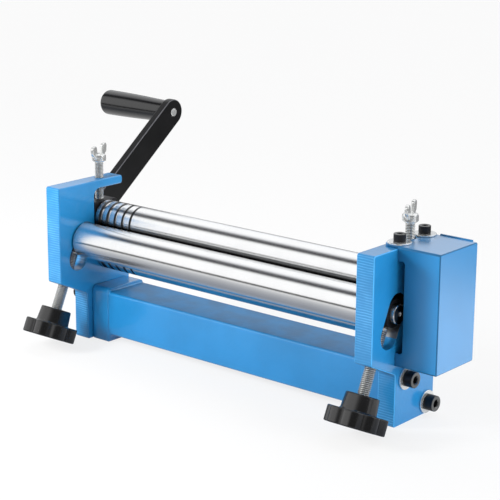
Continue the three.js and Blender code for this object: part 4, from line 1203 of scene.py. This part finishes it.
def cap_screw(diameter, length):
    """Socket head cap screw on Z, its head's underside at 0 and its thread below. Its sizes
    are shares of its thread's diameter."""
    radius, head, pitch, edge = diameter / 2, 0.8125 * diameter, 0.16 * diameter, 0.1 * diameter
    knurls, knurl_depth = 40, 0.012 * diameter
    rim = []
    for i in range(2 * knurls):
        angle = HALF_TURN * i / knurls
        reach = head - (knurl_depth if i % 2 else 0)
        rim.append(reach * Vector((math.cos(angle), math.sin(angle))))
    head_body = slab([rim], 0, diameter, edge * 0.7)
    socket_radius = 0.375 * diameter / math.cos(HALF_TURN / 6)
    socket = bar(socket_radius, 0.5 * diameter, diameter + PAST, sides=6)
    mouth_floor, mouth_top = diameter - edge, diameter + PAST / 4
    mouth = lathe([(0, mouth_floor), (socket_radius - edge * 0.3, mouth_floor),
                   (socket_radius + edge * 0.9, mouth_top), (0, mouth_top)], sides=48)
    plain = 0.35 * diameter
    rows = threaded(radius, -length + edge, -plain, pitch, rows=5)
    shank = lathe([(0, -length), (radius - edge, -length), *rows, (radius, edge), (0, edge)],
                  sides=20, pitch=pitch)
    screw = combine(combine(head_body, "DIFFERENCE", socket, mouth), "UNION", shank)
    above_mouth, upward = diameter - edge * 1.01, 0.3
    # The head's top and the socket's rim take a painted highlight
    mark_faces(screw, 1, lambda centre, normal: centre.z > above_mouth and normal.z > upward)
    return screw


def washer(bore, outer, thickness):
    """Washer on Z, with both outer rims and the bore's upper rim broken."""
    edge = thickness * 0.2
    return lathe([
        (bore, 0), (outer - edge, 0), (outer, edge), (outer, thickness - edge),
        (outer - edge, thickness), (bore + edge / 2, thickness), (bore, thickness - edge / 2),
    ], sides=64)


# Crank

def crank_arm(shapes):
    """Flat arm with a boss for the roller's shaft, bored, and tapped for its set screw."""
    outer, inner = ARM_LOW.x, ARM_LOW.x + 0.008
    radius, boss, steps = 0.0125, 0.014, 24
    outline = []
    for middle, start in ((CRANK_RADIUS, -QUARTER_TURN), (0, QUARTER_TURN)):
        for step in range(steps + 1):
            angle = start + HALF_TURN * step / steps
            outline.append(Vector((middle + radius * math.cos(angle), radius * math.sin(angle))))
    arm = slab([outline], outer, inner, shapes.crank_edge)
    boss_end, seat = ARM_HIGH.x, inner - 0.002
    edge, end_edge = 0.0008, 0.001
    body = lathe([(0, seat), (boss - edge, seat), (boss, seat + edge),
                  (boss, boss_end - end_edge), (boss - end_edge, boss_end), (0, boss_end)])
    pin_hole, tap, reach = 0.00415, 0.0033, 0.028
    tapped = Matrix.Translation((0, 0, (inner + boss_end) / 2)) @ Matrix.Rotation(QUARTER_TURN, 4, "Y")
    cuts = [
        bar(DRIVE_RADIUS + RUNNING_GAP, outer - PAST, boss_end + PAST),
        bar(pin_hole, outer - PAST, inner + PAST, Matrix.Translation((CRANK_RADIUS, 0, 0))),
        bar(tap, -reach, 0, tapped),
    ]
    return combine(combine(arm, "UNION", body), "DIFFERENCE", *cuts)


def on_arm_edge(centre, normal):
    """True on the arm's rounded edges towards the machine."""
    side, flat = 0.3, 0.95
    return side < normal.z < flat


def crank_pin():
    """Pin of the grip, with its head at the outer end."""
    low, high = PIN_LOW.x, PIN_HIGH.x
    head, radius, edge = 0.0065, 0.004, 0.0008
    head_end = low + 0.004
    return lathe([
        (0, low), *reversed(broken_rim(head, low, edge, -1)), (head, head_end),
        (radius, head_end), *broken_rim(radius, high, edge, 1), (0, high),
    ], sides=48)


def crank_grip():
    """Grip that swells towards its round outer end, with a recess for the pin's head."""
    start, end = GRIP_HIGH.x, GRIP_LOW.x
    bore, recess, outer, inner = 0.0043, 0.0068, 0.01225, 0.01025
    corner, edge, steps = 0.004, 0.001, 16
    neck, shoulder = start - edge, end + 0.009
    swell = []
    for share in (step / steps for step in range(1, steps + 1)):
        reach = inner + (outer - inner) * math.sin(share * QUARTER_TURN)
        swell.append((reach, neck - share * (neck - end - corner)))
    return lathe([
        (bore, start), *reversed(broken_rim(inner, start, edge, 1)), *swell,
        *round_rim(outer, end, corner, -1, steps=8),
        (recess, end), (recess, shoulder), (bore, shoulder),
    ])


# Settings

class SLIPROLL_PG_finishes(bpy.types.PropertyGroup):
    """Colours and textures of the enamel, metal and plastic"""
    enamel: bpy.props.FloatVectorProperty(
        name="Enamel", description="Colour of the castings and the cover", subtype="COLOR",
        size=3, min=0, max=1, default=(0.016, 0.245, 0.57))
    # Colour of the painted highlight on the castings' rounded edges
    rim_highlight: bpy.props.FloatVectorProperty(
        name="Thin Enamel", description="Colour of the enamel on the castings' edges", subtype="COLOR",
        size=3, min=0, max=1, default=(0.08, 0.45, 0.9))
    rib_pitch: bpy.props.FloatProperty(
        name="Rib Pitch", description="Distance between the planed ribs of the front faces",
        unit="LENGTH", default=0.0021)
    # Colour of the painted highlight on the crests of the planed ribs
    rib_highlight: bpy.props.FloatVectorProperty(
        name="Rib Tint", description="Colour of the crests of the planed ribs", subtype="COLOR",
        size=4, min=0, max=1, default=(0.14, 0.56, 1.0, 1.0))
    rib_depth: bpy.props.FloatProperty(
        name="Rib Depth", description="Depth of the planed ribs under the enamel",
        unit="LENGTH", default=0.00004)
    enamel_peel: bpy.props.FloatProperty(
        name="Enamel Peel", description="Depth of the waviness of the enamel",
        unit="LENGTH", default=0.00009)
    roller_steel: bpy.props.FloatVectorProperty(
        name="Roller Steel", description="Colour of the ground rollers", subtype="COLOR",
        size=3, min=0, max=1, default=(0.95, 0.955, 0.96))
    roller_blur: bpy.props.FloatProperty(
        name="Roller Blur", description="Roughness of the ground rollers", default=0.2)
    grinding: bpy.props.FloatProperty(
        name="Grinding", description="Share of the rollers' blur that runs one way", default=1.0)
    bare_steel: bpy.props.FloatVectorProperty(
        name="Bare Steel", description="Colour of milled slots and gears", subtype="COLOR",
        size=3, min=0, max=1, default=(0.5, 0.51, 0.52))
    bronze: bpy.props.FloatVectorProperty(
        name="Bronze", description="Colour of the bushes", subtype="COLOR",
        size=3, min=0, max=1, default=(0.55, 0.33, 0.12))
    zinc: bpy.props.FloatVectorProperty(
        name="Zinc", description="Colour of plated screws and washers", subtype="COLOR",
        size=3, min=0, max=1, default=(0.86, 0.87, 0.86))
    oxide: bpy.props.FloatVectorProperty(
        name="Black Oxide", description="Colour of blackened screws and blocks", subtype="COLOR",
        size=3, min=0, max=1, default=(0.022, 0.022, 0.025))
    black_paint: bpy.props.FloatVectorProperty(
        name="Black Paint", description="Colour of the crank's arm", subtype="COLOR",
        size=3, min=0, max=1, default=(0.005, 0.005, 0.0055))
    plastic: bpy.props.FloatVectorProperty(
        name="Plastic", description="Colour of the knobs and the grip", subtype="COLOR",
        size=3, min=0, max=1, default=(0.003, 0.003, 0.0035))


class SLIPROLL_PG_shapes(bpy.types.PropertyGroup):
    """Edges of the pieces and the lobes of the knobs"""
    casting_edge: bpy.props.FloatProperty(
        name="Casting Edge", description="Radius of the side plates' edges",
        unit="LENGTH", default=0.0012)
    cover_fold: bpy.props.FloatProperty(
        name="Cover Fold", description="Outer radius of the cover's folds",
        unit="LENGTH", default=0.0018)
    crank_edge: bpy.props.FloatProperty(
        name="Crank Edge", description="Radius of the crank arm's edges",
        unit="LENGTH", default=0.0012)
    knob_lobes: bpy.props.IntProperty(
        name="Knob Lobes", description="Number of lobes round a knob", default=KNOB_LOBES)
    knob_flute: bpy.props.FloatProperty(
        name="Knob Flute", description="Depth of the flutes between a knob's lobes",
        unit="LENGTH", default=0.003)
    knob_edge: bpy.props.FloatProperty(
        name="Knob Edge", description="Radius of a knob's rims",
        unit="LENGTH", default=0.0012)


class SLIPROLL_PG_stage(bpy.types.PropertyGroup):
    """Camera and light"""
    viewpoint: bpy.props.FloatVectorProperty(
        name="Viewpoint", description="Where the camera stands", subtype="TRANSLATION",
        unit="LENGTH", size=3, default=(0.872876, -1.01901, 0.456585))
    azimuth: bpy.props.FloatProperty(
        name="Azimuth", description="Turn of the camera round the machine",
        subtype="ANGLE", default=math.radians(39.8617))
    elevation: bpy.props.FloatProperty(
        name="Elevation", description="Angle from which the camera looks down",
        subtype="ANGLE", default=math.radians(15.0824))
    roll: bpy.props.FloatProperty(
        name="Roll", description="Turn of the camera about its own line of sight",
        subtype="ANGLE", default=math.radians(0.3821))
    lens: bpy.props.FloatProperty(
        name="Lens", description="Focal length", subtype="DISTANCE_CAMERA", default=114.463)
    studio: bpy.props.FloatProperty(
        name="Studio", description="Strength of the light from the studio's walls", default=1.1)
    dark_corner: bpy.props.FloatProperty(
        name="Dark Corner", description="Darkness of the studio's front right corner", default=0.9)
    side: bpy.props.FloatProperty(
        name="Side Lamp", description="Strength of the lamp to the right, in watts per square metre",
        default=3.2)
    front: bpy.props.FloatProperty(
        name="Front Lamp", description="Strength of the lamp in front of the left plate",
        unit="POWER", default=5.0)


# Operators

SIDES = (("right", PLATE_MIDDLE), ("left", -PLATE_MIDDLE))


def settings(name):
    """One of the add-on's groups of settings."""
    return getattr(bpy.context.scene, f"slip_roll_{name}")


class SLIPROLL_OT_side_plates(bpy.types.Operator):
    """Add the two side plates"""
    bl_idname = "slip_roll.side_plates"
    bl_label = "Side Plates"

    def execute(self, context):
        shapes = settings("shapes")
        # Bare steel in the milled slot and hole, and a painted highlight on the rims
        extra = ["bare_steel", "enamel_edge"]
        add_piece("right_side_plate", side_plate(shapes, True), finishes=extra)
        add_piece("left_side_plate", mirrored(side_plate(shapes, False)), finishes=extra)
        return {"FINISHED"}


class SLIPROLL_OT_cross_beam(bpy.types.Operator):
    """Add the beam that ties the side plates together"""
    bl_idname = "slip_roll.cross_beam"
    bl_label = "Cross Beam"

    def execute(self, context):
        beam = cross_beam()
        # The top between the pads takes painted shade
        mark_faces(beam, 1, on_beam_top)
        add_piece("cross_beam", beam, finishes=["beam_top_enamel"])
        return {"FINISHED"}


class SLIPROLL_OT_rollers(bpy.types.Operator):
    """Add the two geared rollers and the bending roller"""
    bl_idname = "slip_roll.rollers"
    bl_label = "Rollers"

    def execute(self, context):
        lower_left = machine_box("lower_roller")[0].x
        add_geared_roller("lower_roller", LOWER_AXIS,
                          [(JOURNAL_RADIUS, -PLATE_OUTER), (DRIVE_RADIUS, lower_left)], -1)
        add_geared_roller("upper_roller", UPPER_AXIS, [(JOURNAL_RADIUS, UPPER_ROLLER_LOW.x)], 1)
        add_bending_roller()
        return {"FINISHED"}


class SLIPROLL_OT_bearings(bpy.types.Operator):
    """Add the lower bushes and the sliding bearing blocks"""
    bl_idname = "slip_roll.bearings"
    bl_label = "Bearings"

    def execute(self, context):
        for name, make in (("lower_bush", lower_bush), ("upper_block", upper_block),
                           ("bending_block", bending_block)):
            right = make()
            add_piece(f"left_{name}", mirrored(right))
            add_piece(f"right_{name}", right)
        return {"FINISHED"}


class SLIPROLL_OT_bending_adjusters(bpy.types.Operator):
    """Add the adjusting screws and knobs of the bending roller"""
    bl_idname = "slip_roll.bending_adjusters"
    bl_label = "Bending Adjusters"

    def execute(self, context):
        screw, grip = adjusting_screw(), knob(settings("shapes"))
        for side, x in SIDES:
            add_piece(f"{side}_adjusting_screw", screw.copy(), slot_place(x), ["thread_root"])
            add_piece(f"{side}_knob", grip.copy(), slot_place(x))
        return {"FINISHED"}


class SLIPROLL_OT_wing_bolts(bpy.types.Operator):
    """Add the wing bolts of the upper roller"""
    bl_idname = "slip_roll.wing_bolts"
    bl_label = "Wing Bolts"

    def execute(self, context):
        bolt = wing_bolt()
        for side, x in SIDES:
            add_piece(f"{side}_wing_bolt", bolt.copy(), standing(x), ["thread_root"])
        return {"FINISHED"}


class SLIPROLL_OT_gear_train(bpy.types.Operator):
    """Add the gears, and finish their keys and rings"""
    bl_idname = "slip_roll.gear_train"
    bl_label = "Gear Train"

    def execute(self, context):
        half_pitch = HALF_TURN / GEAR_TEETH
        add_piece("lower_gear", gear("lower_gear", -1, QUARTER_TURN))
        add_piece("upper_gear", gear("upper_gear", 1, half_pitch - QUARTER_TURN))
        for level in ("lower", "upper"):
            for part in ("gear_key", "gear_ring"):
                finish_solid(f"{level}_{part}")
        return {"FINISHED"}


class SLIPROLL_OT_gear_cover(bpy.types.Operator):
    """Add the folded cover over the gears"""
    bl_idname = "slip_roll.gear_cover"
    bl_label = "Gear Cover"

    def execute(self, context):
        cover = gear_cover(settings("shapes"))
        mark_faces(cover, 1, lambda centre, normal: True)
        # The folds take a painted shade line
        mark_faces(cover, 2, on_fold)
        add_piece("gear_cover", cover, finishes=["sheet_enamel", "fold_enamel"])
        return {"FINISHED"}


class SLIPROLL_OT_fasteners(bpy.types.Operator):
    """Add the cap screws and washers of the beam and the cover"""
    bl_idname = "slip_roll.fasteners"
    bl_label = "Fasteners"

    def execute(self, context):
        beam_diameter, cover_diameter = 0.008, 0.006
        low, high = machine_box("right_upper_beam_screw")
        screw = cap_screw(beam_diameter, high.x - low.x - beam_diameter)
        head = high.x - beam_diameter
        low, high = machine_box("right_upper_beam_washer")
        disc = washer(BEAM_HOLE_RADIUS, WASHER_RADIUS, high.x - low.x)
        turned_round = Matrix.Rotation(HALF_TURN, 4, "Z") @ ALONG_X
        for level, (y, z) in zip(("upper", "lower"), beam_screw_places()):
            for side, sign, outwards in (("right", 1, ALONG_X), ("left", -1, turned_round)):
                add_piece(f"{side}_{level}_beam_screw", screw.copy(),
                          Matrix.Translation((sign * head, y, z)) @ outwards, ["worn_oxide"])
                add_piece(f"{side}_{level}_beam_washer", disc.copy(),
                          Matrix.Translation((sign * low.x, y, z)) @ outwards)
        low, high = machine_box("cover_screw_front")
        screw = cap_screw(cover_diameter, high.z - low.z - cover_diameter)
        head = high.z - cover_diameter
        low, high = machine_box("cover_washer_front")
        disc = washer(COVER_HOLE_RADIUS, WASHER_RADIUS, high.z - low.z)
        for end, place in zip(("front", "back"), cover_screw_places()):
            add_piece(f"cover_screw_{end}", screw.copy(),
                      Matrix.Translation((*place, head)), ["worn_oxide"])
            add_piece(f"cover_washer_{end}", disc.copy(), Matrix.Translation((*place, low.z)))
        return {"FINISHED"}


class SLIPROLL_OT_crank(bpy.types.Operator):
    """Add the crank's arm, set screw, pin and grip"""
    bl_idname = "slip_roll.crank"
    bl_label = "Crank"

    def execute(self, context):
        place = crank_place()
        arm = crank_arm(settings("shapes"))
        # The arm's rounded edges take a painted highlight
        mark_faces(arm, 1, on_arm_edge)
        add_piece("crank_arm", arm, place, ["worn_edge"])
        to_grip = place @ Matrix.Translation((CRANK_RADIUS, 0, 0))
        add_piece("crank_pin", crank_pin(), to_grip)
        add_piece("crank_grip", crank_grip(), to_grip)
        finish_solid("crank_set_screw")
        return {"FINISHED"}


class SLIPROLL_OT_stage(bpy.types.Operator):
    """Add the floor, the light and the camera"""
    bl_idname = "slip_roll.stage"
    bl_label = "Stage"

    def execute(self, context):
        stage = settings("stage")
        scene = context.scene
        scene.view_settings.view_transform = "Standard"
        add_floor()
        add_world(stage)
        side_place, side_angle = (2, 0.1, 0.1), math.radians(40)
        front_place, front_size = (-0.4, -0.62, 0.42), 0.22
        add_lamp("side", "SUN", stage.side, side_place).angle = side_angle
        add_lamp("front", "AREA", stage.front, front_place).size = front_size
        camera = bpy.data.cameras.new("viewpoint")
        camera.lens = stage.lens
        camera.clip_start, camera.clip_end = 0.05, 50
        viewer = bpy.data.objects.new("viewpoint", camera)
        scene.collection.objects.link(viewer)
        azimuth, elevation = stage.azimuth, stage.elevation
        level = Vector((math.cos(azimuth), math.sin(azimuth), 0))
        back = Vector((level.y * math.cos(elevation), -level.x * math.cos(elevation),
                       math.sin(elevation)))
        turn = Matrix((level, back.cross(level), back)).transposed()
        facing = turn @ Matrix.Rotation(stage.roll, 3, "Z")
        viewer.matrix_world = Matrix.Translation(stage.viewpoint) @ facing.to_4x4()
        scene.camera = viewer
        return {"FINISHED"}


def add_lamp(name, kind, strength, place):
    """A wide, soft lamp that points at the machine and shows in no gloss."""
    lamp = bpy.data.lights.new(name, kind)
    lamp.energy = strength
    carrier = bpy.data.objects.new(name, lamp)
    carrier.location = place
    carrier.visible_glossy = False
    carrier.rotation_euler = Vector(place).to_track_quat("Z", "Y").to_euler()
    bpy.context.scene.collection.objects.link(carrier)
    return lamp


WHITE = (1, 1, 1, 1)

# Brightness of the floor as metal and gloss mirror it, from behind the machine to the front
FLOOR_BACK, FLOOR_DEPTH = 1, 3
FLOOR_BANDS = [
    (0.0, (0.2, 0.2, 0.2)), (0.20, (0.2, 0.2, 0.2)), (0.24, (1.0, 1.0, 1.0)),
    (0.31, (0.9, 0.9, 0.9)), (0.36, (0.26, 0.28, 0.32)), (0.46, (0.85, 0.85, 0.85)),
    (0.52, (0.04, 0.04, 0.04)), (0.80, (0.04, 0.04, 0.04)), (0.85, (0.9, 0.9, 0.9)),
]


def add_floor():
    """A pale floor that shows nearly white to the camera, keeps soft shadows, and shows as light
    and dark bands in metal and gloss."""
    half = 6
    mesh = bpy.data.meshes.new("floor")
    corners = [(-half, -half, 0), (half, -half, 0), (half, half, 0), (-half, half, 0)]
    mesh.from_pydata(corners, [], [(0, 1, 2, 3)])
    floor = bpy.data.objects.new("floor", mesh)
    bpy.context.scene.collection.objects.link(floor)
    material = bpy.data.materials.new("floor")
    mesh.materials.append(material)
    nodes = Nodes(material)
    grain = nodes.noise(nodes.place(), scale=3, detail=2)
    pale, paler, glow = (0.93, 0.93, 0.93, 1), (0.95, 0.95, 0.95, 1), 0.8
    matt = nodes.add("ShaderNodeBsdfDiffuse", {}, {"Color": nodes.blend(grain, pale, paler)})
    white = nodes.add("ShaderNodeEmission", {}, {"Color": WHITE, "Strength": 1.0})
    path = nodes.add("ShaderNodeLightPath")
    seen = nodes.add("ShaderNodeMixShader", {}, {
        0: path.out("Is Camera Ray") * glow, 1: matt.out(), 2: white.out()})
    y = nodes.axes(nodes.place())[1]
    bands = nodes.add("ShaderNodeValToRGB", {"stops": FLOOR_BANDS}, {
        "Fac": (FLOOR_BACK - y) / FLOOR_DEPTH}).out("Color")
    in_metal = nodes.add("ShaderNodeEmission", {}, {"Color": bands, "Strength": 1.0})
    mixed = nodes.add("ShaderNodeMixShader", {}, {
        0: path.out("Is Glossy Ray"), 1: seen.out(), 2: in_metal.out()})
    nodes.add("ShaderNodeOutputMaterial", {}, {"Surface": mixed.out()})


# Brightness of the studio, from the horizon in front over the top to the horizon behind
STUDIO_BANDS = [
    (0.0, (1.0, 1.0, 1.0)), (0.31, (1.0, 1.0, 1.0)), (0.38, (0.06, 0.06, 0.065)),
    (0.46, (0.05, 0.05, 0.055)), (0.54, (0.85, 0.86, 0.88)), (0.62, (1.0, 1.0, 1.0)),
    (0.88, (0.95, 0.96, 0.98)), (0.94, (0.25, 0.26, 0.28)), (1.0, (0.12, 0.12, 0.13)),
]


def add_world(stage):
    """White for the camera; otherwise a studio with a bright front, a dark gap overhead, a
    bright back down to a dim horizon, and a dark corner to the front right."""
    world = bpy.data.worlds.new("studio")
    bpy.context.scene.world = world
    nodes = Nodes(world)
    x, y, z = nodes.axes(nodes.add("ShaderNodeTexCoord").out("Generated"))
    height = z.math("ARCTAN2", z, -y) / HALF_TURN
    bands = nodes.add("ShaderNodeValToRGB", {"stops": STUDIO_BANDS}, {"Fac": height}).out("Color")
    path = nodes.add("ShaderNodeLightPath")
    slant, rim, middle, shadow = 0.7, 0.5, 0.85, (0.03, 0.03, 0.03, 1)
    corner = (x * slant - y * slant).above(rim, middle) * stage.dark_corner
    studio = nodes.add("ShaderNodeBackground", {}, {
        "Color": nodes.blend(corner, bands, shadow), "Strength": stage.studio})
    white = nodes.add("ShaderNodeBackground", {}, {"Color": WHITE, "Strength": 1.0})
    seen = nodes.add("ShaderNodeMixShader", {}, {
        0: path.out("Is Camera Ray"), 1: studio.out(), 2: white.out()})
    nodes.add("ShaderNodeOutputWorld", {}, {"Surface": seen.out()})


OPERATORS = [
    SLIPROLL_OT_side_plates,
    SLIPROLL_OT_cross_beam,
    SLIPROLL_OT_rollers,
    SLIPROLL_OT_bearings,
    SLIPROLL_OT_bending_adjusters,
    SLIPROLL_OT_wing_bolts,
    SLIPROLL_OT_gear_train,
    SLIPROLL_OT_gear_cover,
    SLIPROLL_OT_fasteners,
    SLIPROLL_OT_crank,
    SLIPROLL_OT_stage,
]
GROUPS = {
    "finishes": SLIPROLL_PG_finishes,
    "shapes": SLIPROLL_PG_shapes,
    "stage": SLIPROLL_PG_stage,
}


class SLIPROLL_PT_panel(bpy.types.Panel):
    """Sidebar panel that lists the machine's pieces and settings"""
    bl_idname = "SLIPROLL_PT_panel"
    bl_label = "Slip Roll"
    bl_space_type = "VIEW_3D"
    bl_region_type = "UI"
    bl_category = "Slip Roll"

    def draw(self, context):
        for operator in OPERATORS:
            self.layout.operator(operator.bl_idname)
        for name, group in GROUPS.items():
            box = self.layout.box()
            box.label(text=name.capitalize())
            for prop in group.__annotations__:
                box.prop(settings(name), prop)


def register():
    for made in [*GROUPS.values(), *OPERATORS, SLIPROLL_PT_panel]:
        bpy.utils.register_class(made)
    for name, group in GROUPS.items():
        setattr(bpy.types.Scene, f"slip_roll_{name}", bpy.props.PointerProperty(type=group))


def unregister():
    for name in GROUPS:
        delattr(bpy.types.Scene, f"slip_roll_{name}")
    for made in reversed([*GROUPS.values(), *OPERATORS, SLIPROLL_PT_panel]):
        bpy.utils.unregister_class(made)


def main():
    register()
    for operator in OPERATORS:
        group, name = operator.bl_idname.split(".")
        getattr(getattr(bpy.ops, group), name)()


if __name__ == "__main__":
    main()
